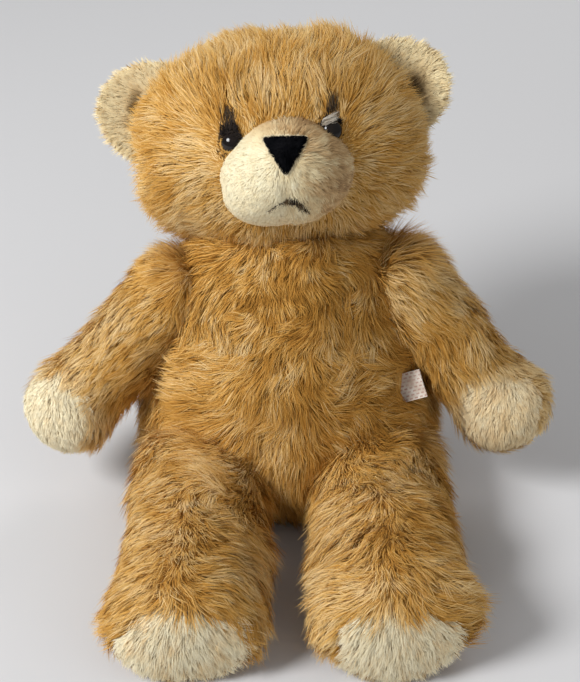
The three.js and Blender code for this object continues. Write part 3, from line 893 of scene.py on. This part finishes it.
def ribbons(name, roots, normals, ways, length, width, tone, style, material):
    """Flat strands with one bend; neighbours draw together into tufts, and tufts into locks."""
    count = len(roots)
    lock = leaders(roots, style.tuft * 8)
    small = leaders(roots, style.tuft)
    ways = along_skin(ways, normals)
    aside = np.cross(normals, ways)
    stray = style.stray
    turn = chance.normal(0, 1.3 * stray, count)[lock] + chance.normal(0, stray, count)[small]
    turn = turn + chance.normal(0, 0.8 * stray, count)
    ways = swung(ways, aside, turn)
    aside = np.cross(normals, ways)
    under = chance.random(count) < style.under
    length = length * chance.uniform(0.75, 1.2, count)[small] * chance.uniform(0.8, 1.1, count)
    length = np.where(under, length * chance.uniform(0.4, 0.65, count), length)
    lift = chance.normal(0, style.lift, count)[small] + chance.normal(0, 0.8 * style.lift, count)
    low, high = style.lean[0] + lift, style.lean[1] + lift
    curl = (chance.normal(0, 0.09, count)[small] * length)[:, None] * aside
    bend = roots + swung(normals, ways, low) * (length * BEND_SHARE)[:, None] + curl
    tips = bend + swung(normals, ways, high) * (length * (1 - BEND_SHARE))[:, None] - curl
    gather = chance.uniform(0, style.gather, count)[small][:, None]
    spread = roots - roots[small]
    tips = tips + (tips[small] + spread * 0.2 - tips) * gather
    bend = bend + (bend[small] + spread * 0.6 - bend) * gather * 0.5
    for ends in (bend, tips):
        ends[:, 2] = np.clip(ends[:, 2], FLOOR_GAP, TOP_LIMIT)
        ends[:, 1] = np.minimum(ends[:, 1], BACK_LIMIT)
    clear = ~(over_label(bend) | over_label(tips))
    axis = unit(tips - roots)
    flat = unit(np.cross(axis, normals))
    flat = swung(flat, np.cross(axis, flat), chance.normal(0, 0.45, count))
    half = (width * chance.uniform(0.7, 1.2, count) / 2)[:, None] * flat
    start = roots - normals * ROOT_SINK
    points = np.stack([start - half * 0.8, start + half * 0.8, bend - half, bend + half, tips], axis=1)
    left = unit(normals - flat * 0.4)
    right = unit(normals + flat * 0.4)
    end = unit(normals + axis * 0.3)
    shading = np.stack([left, right, left, right, end], axis=1)
    order = np.flatnonzero(clear)[np.argsort(roots[clear, 1])]
    for part, chosen in enumerate(np.array_split(order, 1 + len(order) // STRANDS_A_PIECE)):
        ribbon_piece(f"{name}_{part + 1}", points[chosen], shading[chosen], tone[chosen], material)


def ribbon_piece(name, points, shading, tone, material):
    """One mesh of strands, with the map that its colour is read from."""
    count = len(points)
    first = np.arange(count)[:, None, None] * 5
    triangles = (first + np.array([[0, 1, 3], [0, 3, 2], [2, 3, 4]])).reshape(-1, 3)
    mesh = mesh_from(name, points.reshape(-1, 3), triangles)
    bins = (np.floor(np.clip(tone, 0, 0.999) * BINS) + 0.5) / BINS
    step = 0.3 / BINS
    across = np.stack([bins - step, bins + step, bins - step, bins + step, bins], axis=1)
    along = np.tile([0.02, 0.02, 0.5, 0.5, 0.98], (count, 1))
    corners = np.stack([across, along], axis=2).reshape(-1, 2)[triangles.ravel()]
    layer = mesh.uv_layers.new(name="OFBake")
    layer.uv.foreach_set("vector", corners.astype(np.float32).ravel())
    mesh.normals_split_custom_set_from_vertices(shading.reshape(-1, 3).astype(np.float32))
    return add_piece(name, mesh, material)


# How far strands lean at foot and tip and how much that varies, how many draw together and how far, how
# much their ways stray, and the share of short strands
Style = namedtuple("Style", "lean lift tuft gather stray under")
LONG = Style((0.97, 1.37), 0.09, 12, 0.3, 0.11, 0.3)
FACE = Style((1.0, 1.38), 0.07, 10, 0.2, 0.09, 0.3)
VELVET = Style((1.34, 1.5), 0.015, 5, 0.05, 0.07, 0.1)
SOFT = Style((0.85, 1.3), 0.07, 8, 0.3, 0.12, 0.25)
COMBED = Style((1.1, 1.4), 0.04, 8, 0.15, 0.10, 0.2)
FRINGE = Style((0.65, 1.25), 0.08, 6, 0.3, 0.15, 0.1)
RIM = Style((0.35, 0.9), 0.10, 6, 0.3, 0.2, 0.2)


def gold_tone(points, base, seed):
    """Tone of the long pile: soft patches, locks and single strands."""
    patch = waves(points, 0.08, seed) * 0.05 + waves(points, 0.022, seed + 1) * 0.06
    patch = patch + waves(points, 0.010, seed + 2) * 0.085
    own = chance.normal(0, 0.045, len(points)) + np.where(chance.random(len(points)) < 0.28, 0.10, -0.04)
    return np.clip(base + patch + own, GOLD_DARK, GOLD_PALE)


LONG_AREA = 1080000  # strands a square metre
BACK_SHARE = 0.42
LONG_WIDTH = 0.00046
MUZZLE_WIDTH = 0.00045
PAD_WIDTH = 0.0005
EAR_BACK_WIDTH = 0.0006
FUZZ_WIDTH = 0.0004
# The way each part's pile lies, its length and its tone
BODY_PILE = {
    "torso": (torso_way, 0.021, 0.31),
    "right_arm": (arm_way("right"), 0.018, 0.38),
    "left_arm": (arm_way("left"), 0.018, 0.41),
    "right_leg": (leg_way("right"), 0.019, 0.39),
    "left_leg": (leg_way("left"), 0.019, 0.37),
}
PAW_SHORTER = {"right": 0.6, "left": 0.35}  # by what share the pile is shorter round a paw's end


def past_paw(side, points):
    """How far points are round the end of a paw, from 0 to 1."""
    return ease((points - paw_middle(side)) @ arm_ways[side], -0.004, 0.016)


def beside_pad(side, points):
    """How near points are to a paw pad, from 0 to 1."""
    ahead, aside = from_paw(side, points)
    return (1 - ease(aside / (PAW_RADIUS * PAD_SHARE), 1.0, 1.4)) * ease(ahead, -0.014, -0.002)


def grow_body():
    for name, (way, length, base) in BODY_PILE.items():
        roots, normals = scatter(name, LONG_AREA, BACK_SHARE)
        matting = patchy(roots, MATTED)
        streaks = matting * (0.11 * waves(roots, 0.011, 39) - 0.01)
        # The patches add the plush's stains and the painted shade below the bear's left arm
        tone = gold_tone(roots, base, 31) + patchy(roots, STAINS_AND_SHADE) + streaks
        tone = np.clip(tone, GOLD_DARK, GOLD_PALE)
        ways = ruffled(roots, normals, way(roots), 0.7 + matting, 36)
        sizes = length * (1 + patchy(roots, TUFTS))
        side, _, limb = name.partition("_")
        if limb == "leg":
            under = ease(-roots[:, 1], 0.165, 0.19) * ease(-roots[:, 2], -0.03, -0.012)
            sizes = sizes * (1 - 0.5 * under)
            tone = np.minimum(tone + 0.10 * under, GOLD_PALE)
        if limb == "arm":
            end = past_paw(side, roots)
            sizes = sizes * (1 - PAW_SHORTER[side] * end)
            tone = np.minimum(tone + np.maximum(0.12 * end, 0.22 * beside_pad(side, roots)), GOLD_PALE)
        ribbons(name + "_pile", roots, normals, ways, sizes, LONG_WIDTH, tone, LONG, plush_pile)


# Sooty marks by photograph pixels: from and to, half width in metres, then tone
SOOT_MARKS = [
    ((231, 148), (230, 120), 0.0092, SOOT_AND_SHADE),
    ((328, 133), (333, 110), 0.0092, SOOT_AND_SHADE),
    ((410, 84), (414, 98), 0.0075, SOOT_AND_SHADE),
    ((141, 96), (136, 122), 0.0045, SOOT_BROWN),
]
EYE_MARKS = 2  # how many of the marks, from the first, are at the eyes
face_tree = tree_of(["head", "right_ear_lining", "left_ear_lining"])


def face_spot(x, y):
    """The point of the head or ears that a photograph pixel shows, in the head's frame."""
    return to_head(seen_point(face_tree, x, y))


soot_marks = [(face_spot(*start), face_spot(*end), reach, tone) for start, end, reach, tone in SOOT_MARKS]


def near_mark(points, start, end):
    """How far points are from a mark's middle line, and their share of the way along it."""
    along = end - start
    share = np.clip((points - start) @ along / (along @ along), 0, 1)
    return lengths(points - start - share[:, None] * along), share


def grow_head():
    roots, normals = scatter("head", LONG_AREA * 1.05, BACK_SHARE)
    own = to_head(roots)
    eyes = np.full(len(own), 1.0)
    for sign in SIDES.values():
        spot = np.array([sign * EYE_ACROSS, -EYE_AHEAD, EYE_RISE])
        eyes = np.minimum(eyes, lengths(own - spot))
    outside = eyes > EYE_RADIUS + EYE_CLEAR
    roots, normals, own, eyes = roots[outside], normals[outside], own[outside], eyes[outside]
    muzzle = lengths((own - MUZZLE_MIDDLE) / MUZZLE_SEMI)
    jowl = 0.1 + 0.9 * ease(-own[:, 2], 0.01, 0.045)
    cheek = ease(np.abs(own[:, 0]), 0.045, 0.09) * np.where(own[:, 0] > 0, jowl, 1)
    crown = ease(own[:, 2], 0.0, 0.05)
    length = 0.019 + 0.005 * np.maximum(cheek, crown)
    length = length * (0.35 + 0.65 * ease(muzzle, 1.0, 1.5)) * (0.28 + 0.72 * ease(eyes, 0.007, 0.024))
    length = length * (1 - 0.3 * ease(own[:, 1], 0.02, 0.05))
    for side in SIDES:
        gap, _ = skins[side + "_ear_lining"].nearest(roots)
        length = length * (0.4 + 0.6 * ease(gap, 0.003, 0.024))
    tone = gold_tone(roots, 0.42, 41)
    ways = unit(head_way(roots))
    for start, end, _, _ in soot_marks[:EYE_MARKS]:
        apart, _ = near_mark(own, start, end)
        upward = fade(apart, 0.012)[:, None]
        ways = ways * (1 - upward) + (np.array([0, 0.3, 1.0]) @ head_turn.T) * upward
    ways = ruffled(roots, normals, ways, 0.45, 47)
    half_way = own + (ways * (length * 0.5)[:, None]) @ head_turn
    for start, end, reach, mark in soot_marks:
        apart, share = near_mark(own, start, end)
        later, later_share = near_mark(half_way, start, end)
        share = np.where(later < apart, later_share, share)
        apart = np.minimum(apart, later)
        marked = apart < reach * (1 - 0.55 * share) * chance.uniform(0.8, 1.12, len(own))
        faded = 0.07 * ease(share[marked], 0.6, 1.0) * (mark == SOOT_AND_SHADE)
        tone[marked] = mark + faded + chance.uniform(-0.03, 0.03, marked.sum())
    ribbons("head_pile", roots, normals, ways, length, LONG_WIDTH, tone, FACE, plush_pile)


EYE_RIM_STRANDS = 900
BROW_STRANDS = 150
SHORT_BACK_SHARE = 0.6


def eye_frame(side):
    """The place of an eye on the head and the way it faces, in the head's frame."""
    x = SIDES[side] * EYE_ACROSS
    y = -HEAD_SEMI[1] * math.sqrt(1 - (x / HEAD_SEMI[0]) ** 2 - (EYE_RISE / HEAD_SEMI[2]) ** 2)
    spot = np.array([x, y, EYE_RISE])
    return spot, unit(spot / HEAD_SEMI**2)


def round_eye(side, turn, reach):
    """Roots and normals at turns and distances round an eye, and the ways out, across and up there."""
    spot, outward = eye_frame(side)
    across = unit(np.cross(np.array([0, 0, 1]), outward))
    rise = np.cross(outward, across)
    ring = swung(across, rise, turn)
    found = [skins["head"].tree.find_nearest(point) for point in from_head(spot + ring * reach[:, None])]
    roots = np.array([place for place, _, _, _ in found])
    normals = np.array([normal for _, normal, _, _ in found])
    return roots, normals, ring, across, rise


def grow_eye_rim(side):
    """Short hairs close round an eye: dark above it and towards the muzzle, mostly golden elsewhere; the
    dark is partly the soot above the eye and partly painted shade in the eye's hollow.
    """
    count = EYE_RIM_STRANDS
    turn = chance.uniform(0, 2 * math.pi, count)
    reach = chance.uniform(EYE_RADIUS - 0.0002, EYE_RADIUS + 0.0007, count)
    roots, normals, ring, _, rise = round_eye(side, turn, reach)
    above = ease(np.sin(turn), 0.1, 0.6)
    inner = ease(-SIDES[side] * np.cos(turn), 0.2, 0.7)
    golden = chance.random(count) > above + inner + 0.05
    inward = np.where(golden | (chance.random(count) < 0.45), -0.8, 1.0)[:, None]
    ways = (ring * inward + rise * np.where(golden, 0, 0.5)[:, None]) @ head_turn.T
    length = chance.uniform(0.0012, 0.0020, count) * (1 + 2.2 * above + 1.4 * golden)
    # Dark hairs: soot above the eye, and painted shade in the eye's hollow and towards the muzzle
    tone = np.where(golden, 0.34, SOOT_AND_SHADE) + chance.uniform(-0.04, 0.05, count)
    ribbons(side + "_eye_rim", roots, normals, ways, length, LONG_WIDTH, tone, RIM, plush_pile)


def grow_brow(side, name, low, high, slant, sizes, tone):
    """Hairs that lie over or above an eye, from a part of its rim given in degrees."""
    count = len(tone)
    turn = np.radians(chance.uniform(low, high, count))
    reach = chance.uniform(EYE_RADIUS, EYE_RADIUS + 0.0020, count)
    roots, normals, _, across, rise = round_eye(side, turn, reach)
    ways = np.tile((slant[0] * across + slant[1] * rise) @ head_turn.T, (count, 1))
    length = chance.uniform(*sizes, count)
    ribbons(name, roots, normals, ways, length, LONG_WIDTH, tone, FRINGE, plush_pile)


def grow_short(
    name, way, length, width, per_area, tone, spread, material, style, keep=None, pile="_pile"
):
    """Short pile on one skin: tone is a value or a function of the roots, and keep chooses among them."""
    roots, normals = scatter(name, per_area, SHORT_BACK_SHARE)
    if keep is not None:
        kept = keep(roots)
        roots, normals = roots[kept], normals[kept]
    base = tone(roots) if callable(tone) else tone
    own = base + (waves(roots, 0.02, 51) + 1.3 * waves(roots, 0.007, 52)) * spread
    own = own + chance.normal(0, 0.7 * spread, len(roots))
    sizes = np.full(len(roots), length)
    tones = np.clip(own, 0.01, 0.99)
    ribbons(name + pile, roots, normals, way(roots), sizes, width, tones, style, material)


PAW_TONES = {"right": 0.97, "left": 0.74}
EAR_ROOTS = {"right": np.array([-0.062, 0.002, 0.024]), "left": np.array([0.058, -0.007, 0.020])}
nose_spot = from_head(np.array([0.001, -0.100, -0.014]))


def bare_muzzle(points):
    """Whether points of the muzzle are clear of the nose and the mouth."""
    clear = np.ones(len(points), dtype=bool)
    covered = (to_head(points)[:, 0] < -0.002) | (chance.random(len(points)) < 0.5)
    for node, gap in (("nose_patch", 0.0012), ("mouth_stitch", 0.0002)):
        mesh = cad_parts[node].data
        tree = BVHTree.FromPolygons(points_of(mesh).tolist(), triangles_of(mesh).tolist())
        far = np.array([tree.find_nearest(point)[3] > gap for point in points])
        clear &= far | (covered if node == "mouth_stitch" else False)
    return clear


def muzzle_tone_and_shade(points):
    """The muzzle is cleanest on the bear's right and tan on the bridge; it darkens towards its left, partly
    soil and partly painted shade on the side away from the key lamp.
    """
    own = to_head(points)
    bridge = ease(own[:, 2] - MUZZLE_MIDDLE[2], 0.012, 0.028) * ease(own[:, 0], -0.026, -0.008)
    # Darker towards the left: soil and painted shade
    return np.maximum(0.88 - 0.60 * ease(own[:, 0], -0.010, 0.032) - 0.46 * bridge, 0.30)


def ruffled_share(points):
    """How much of the muzzle's pile is ruffled at points, from 0 to 1: more on its left, where its tone is
    darker.
    """
    return ease(to_head(points)[:, 0], -0.004, 0.016)


def sheared(points):
    return bare_muzzle(points) & (chance.random(len(points)) > ruffled_share(points))


def ruffled_up(points):
    return bare_muzzle(points) & (chance.random(len(points)) < ruffled_share(points))


def ear_tone(points):
    """The ears' lining is pale, with soot at the foot of the ear; towards the foot it is tan, partly its
    own tone and partly painted shade where the ear meets the head.
    """
    own = to_head(points)
    away = np.minimum(*(lengths(own - root) for root in EAR_ROOTS.values()))
    # Tan towards the ear's foot: the lining's own tone and painted shade
    tone = 0.58 + 0.36 * ease(away, 0.020, 0.040)
    for start, end, reach, _ in soot_marks[EYE_MARKS:]:
        apart, _ = near_mark(own, start, end)
        tone -= 0.78 * fade(apart, reach)
    return tone


grow_body()
grow_head()
for side in SIDES:
    grow_eye_rim(side)
dark_tones = SOOT_AND_SHADE + chance.uniform(-0.04, 0.05, BROW_STRANDS)
grey_tones = GREY_HAIR + chance.uniform(-0.08, 0.05, BROW_STRANDS)
grow_brow("left", "dark_brow", 35, 130, (-0.2, -1.0), (0.0050, 0.0080), dark_tones)
grow_brow("left", "grey_brow", 118, 168, (1.0, 0.15), (0.0095, 0.0130), grey_tones)
grow_brow("right", "dark_lash", 45, 145, (0.0, 1.0), (0.0060, 0.0095), dark_tones)
for length, per_area, spread, style, keep, pile in (
    (0.0060, 3000000, 0.04, VELVET, sheared, "_pile"),
    (0.0080, 2700000, 0.10, COMBED, ruffled_up, "_ruffled_pile"),
):
    grow_short(
        "muzzle", outward_way(nose_spot), length, MUZZLE_WIDTH, per_area, muzzle_tone_and_shade, spread,
        cream_pile, style, keep, pile,
    )
for side in SIDES:
    paw = outward_way(paw_middle(side) + np.array([0, 0, 0.03]))
    sole = outward_way(np.array([SIDES[side] * SOLE_ACROSS, -0.20, 0.07]))
    ear = outward_way(from_head(EAR_ROOTS[side]))
    for part, way, length, width, per_area, tone, spread, material, slot, style in (
        ("_paw_pad", paw, 0.008, PAD_WIDTH, 2000000, PAW_TONES[side], 0.07, pad_pile, "pad_pile", COMBED),
        ("_sole_pad", sole, 0.012, PAD_WIDTH, 2000000, 0.96, 0.15, pad_pile, "pad_pile", SOFT),
        ("_ear_lining", ear, 0.0085, PAD_WIDTH, 2200000, ear_tone, 0.06, ear_pile, "ear_pile", COMBED),
        ("_ear_back", ear, 0.008, EAR_BACK_WIDTH, 1100000, 0.48, 0.04, plush_pile, "plush", SOFT),
    ):
        grow_short(side + part, way, length, width, per_area, tone, spread, material, style)


# Face: nose, mouth and eyes

MOUTH_HALF_SPAN = 0.012
MOUTH_TOP = 0.012  # above the muzzle's lower edge
MOUTH_DROOP = 0.0072
MOUTH_LIFT = 0.0011
EYE_LIP = 0.0003  # how far the eye's flat underside is off the head
EYE_RIM = 0.0007  # the same for the widest place of its dome


def add_form(name, mesh, material, node):
    """A small form in the place of its CAD node, on which fuzz can grow."""
    skins[name] = Skin(mesh)
    shown[name] = skins[name].triangles
    add_piece(node + "_form", mesh, material, [node])


def on_muzzle(x, z):
    """The muzzle's skin in front of a place of its middle plane, lifted by the pile under the thread."""
    start = Vector(from_head(MUZZLE_MIDDLE + np.array([x, -0.08, z])))
    place, normal, _, _ = skins["muzzle"].tree.ray_cast(start, Vector(head_turn[:, 1]))
    return np.array(place + normal * MOUTH_LIFT)


def mouth_mesh():
    """A worn mouth thread: thick in the middle, thin at the bear's right end, which hangs less."""
    steps = 40
    sides = 8
    shares = np.linspace(-1, 1, steps)
    droop = MOUTH_DROOP * np.where(shares < 0, 0.7, 1)
    across = shares * MOUTH_HALF_SPAN - 0.002 * shares * shares
    height = MOUTH_TOP - MUZZLE_SEMI[2] - droop * shares * shares
    path = np.array([on_muzzle(x, z) for x, z in zip(across, height)])
    along = unit(np.gradient(path, axis=0))
    outward = unit(path - from_head(MUZZLE_MIDDLE[None]))
    across = unit(np.cross(along, outward))
    outward = np.cross(across, along)
    size = 0.00012 + 0.00032 * fade(shares - 0.3, 0.42) + 0.00006 * np.sin(shares * 46)
    turn = (2 * math.pi * np.arange(sides) / sides + np.arange(steps)[:, None] * 0.35)[:, :, None]
    ring = np.cos(turn) * across[:, None] + np.sin(turn) * outward[:, None]
    points = path[:, None] + ring * size[:, None, None]
    return mesh_from("mouth_stitch_form", points.reshape(-1, 3), grid_triangles(steps, sides, True))


def smudged(points):
    """Every way along the muzzle, and downwards more than up."""
    return chance.normal(0, 1, points.shape) + np.array([0, 0, -1.0]) @ head_turn.T


def fuzzy_end(points):
    """The thread's fuzz is on the bear's left, with a few hairs on its right."""
    return (to_head(points)[:, 0] > -0.003) | (chance.random(len(points)) < 0.12)


def eye_mesh(side):
    """A safety eye turned from a profile: stem, rim and polished dome."""
    dome = math.radians(90) * np.arange(1, 13) / 12
    radius = [0.0003, EYE_STEM_RADIUS, EYE_STEM_RADIUS, EYE_RADIUS * 0.97, EYE_RADIUS]
    radius = np.append(radius, EYE_RADIUS * np.cos(dome) + 1e-5)[:, None]
    height = [-EYE_STEM_LENGTH, -EYE_STEM_LENGTH, EYE_LIP, EYE_LIP, EYE_RIM]
    height = np.append(height, EYE_RIM + (EYE_DOME - 0.0004) * np.sin(dome))[:, None]
    sides = 40
    turn = 2 * math.pi * np.arange(sides) / sides
    points = grid_points(radius * np.cos(turn), radius * np.sin(turn), height)
    spot, outward = eye_frame(side)
    tilt = np.array(Vector((0, 0, 1)).rotation_difference(Vector(outward)).to_matrix())
    triangles = grid_triangles(len(radius), sides, True)
    return mesh_from(side + "_eye_form", from_head(points @ tilt.T + spot), triangles)


nose = copy_of_node("nose_patch", NOSE_VOXEL, 2)
add_form("nose_patch", nose, nose_velvet, "nose_patch")
nose.polygons.foreach_set("use_smooth", np.ones(len(nose.polygons), dtype=bool))
nose_way = outward_way(skins["nose_patch"].points.mean(axis=0))
grow_short(
    "nose_patch", nose_way, 0.0030, FUZZ_WIDTH, 5000000, 0.4, 0.2, black_pile, SOFT
)
add_form("mouth", mouth_mesh(), thread, "mouth_stitch")
grow_short(
    "mouth", smudged, 0.0046, FUZZ_WIDTH, 30000000, 0.75, 0.03, plush_pile, SOFT, fuzzy_end
)
for side in SIDES:
    add_piece(side + "_eye_form", eye_mesh(side), eye_plastic, [side + "_eye"])


# Care label: a woven tape folded once, bare

LABEL_HEIGHT = 0.093
LABEL_BEARING = math.radians(-31)  # round the torso, from its left side to its front
LABEL_LEAN = math.radians(-30)
LABEL_LIFT = math.radians(-26)
LABEL_TURN = math.radians(-11)
LABEL_STEPS = 12  # along each leaf and across the tape
TORSO_LEAN = math.radians(8)


def label_mesh():
    """The tape runs out along one leaf, round the fold and back along the other."""
    outward = Vector((math.cos(LABEL_BEARING), math.sin(LABEL_BEARING), 0))
    middle = Vector((0, LABEL_HEIGHT * math.tan(TORSO_LEAN), LABEL_HEIGHT))
    seam, _, _, _ = skins["torso"].tree.ray_cast(middle + outward, -outward)
    turn = Matrix.Rotation(LABEL_TURN, 3, "Z") @ Matrix.Rotation(LABEL_LIFT, 3, "Y")
    turn = np.array(turn @ Matrix.Rotation(LABEL_LEAN, 3, "X"))
    columns = np.arange(LABEL_STEPS + 1) / LABEL_STEPS
    leaf = np.linspace(-LABEL_SEWN_IN, LABEL_REACH - LABEL_HALF_FOLD, LABEL_STEPS + 1)
    fold = math.pi * (np.arange(1, 6) / 6 - 0.5)
    side = np.full(len(leaf), LABEL_HALF_FOLD)
    x = np.concatenate([leaf, leaf[-1] + LABEL_HALF_FOLD * np.cos(fold), leaf[::-1]])[:, None]
    y = np.concatenate([-side, LABEL_HALF_FOLD * np.sin(fold), side])[:, None]
    height = LABEL_WIDTH * (columns - 0.5)
    curl = 0.0012 * np.sin(x * 260 + height * 120) * np.maximum(0, x / LABEL_REACH)
    triangles = grid_triangles(len(x), len(columns), False)[:, ::-1]
    points = grid_points(x, y + curl, height) @ turn.T + np.array(seam)
    mesh = mesh_from("care_label_tape", points, triangles)
    run = np.arange(len(x))[:, None] * (LABEL_REACH * 100 / LABEL_STEPS)
    places = grid_points(run, LABEL_WIDTH * 100 * columns)
    layer = mesh.uv_layers.new(name="LabelMap")
    layer.uv.foreach_set("vector", places[triangles.ravel()].astype(np.float32).ravel())
    return mesh


label = add_piece("care_label_tape", label_mesh(), label_tape, ["care_label"])

# CAD nodes that stay: the fill and the washers, all inside the covers
for name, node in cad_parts.items():
    for ending, material in (("_stuffing", fibre_fill), ("_washer", washer_plastic)):
        if name.endswith(ending):
            node.data.materials.clear()
            node.data.materials.append(material)


# Studio

FLOOR_HALF = 30
FLOOR_TONE = (0.66, 0.66, 0.67, 1)
SKY_LIGHT = 0.28
LIT_PLACE = Vector((0, 0, 0.14))
# Lamps: name, place, width, power and whether shiny things mirror it
LAMPS = [
    ("key", (-1.55, -0.95, 1.6), 0.9, 53, True),
    ("fill", (1.3, -1.5, 1.2), 2.4, 7, False),
    ("rim", (0.6, 1.6, 1.4), 1.0, 10, False),
]


def add_floor():
    corners = [(-FLOOR_HALF, -FLOOR_HALF, 0), (FLOOR_HALF, -FLOOR_HALF, 0)]
    corners += [(FLOOR_HALF, FLOOR_HALF, 0), (-FLOOR_HALF, FLOOR_HALF, 0)]
    mesh = bpy.data.meshes.new("floor")
    mesh.from_pydata(corners, [], [(0, 1, 2, 3)])
    floor = new_object("floor", mesh)
    material, _, shader = node_material("floor")
    set_inputs(shader, {"Base Color": FLOOR_TONE, "Roughness": 0.9})
    mesh.materials.append(material)


def add_lamp(name, place, size, power, glint):
    lamp = bpy.data.lights.new(name, "AREA")
    lamp.shape = "DISK"
    lamp.size = size
    lamp.energy = power
    obj = new_object(name, lamp)
    obj.location = place
    obj.rotation_euler = (LIT_PLACE - Vector(place)).to_track_quat("-Z", "Y").to_euler()
    obj.visible_glossy = glint


def add_studio():
    scene = bpy.context.scene
    scene.view_settings.view_transform = "Standard"
    world = bpy.data.worlds.new("studio")
    world.use_nodes = True
    set_inputs(world.node_tree.nodes["Background"], {"Color": (1, 1, 1, 1), "Strength": SKY_LIGHT})
    scene.world = world
    add_floor()
    for lamp in LAMPS:
        add_lamp(*lamp)
    data = bpy.data.cameras.new("photo_camera")
    data.sensor_width = SENSOR
    data.lens = SENSOR * PHOTO_FOCAL / PHOTO_HEIGHT
    camera = new_object("photo_camera", data)
    camera.location = camera_place
    camera.rotation_euler = (math.radians(90) - CAMERA_ELEVATION, 0, 0)
    scene.camera = camera


add_studio()
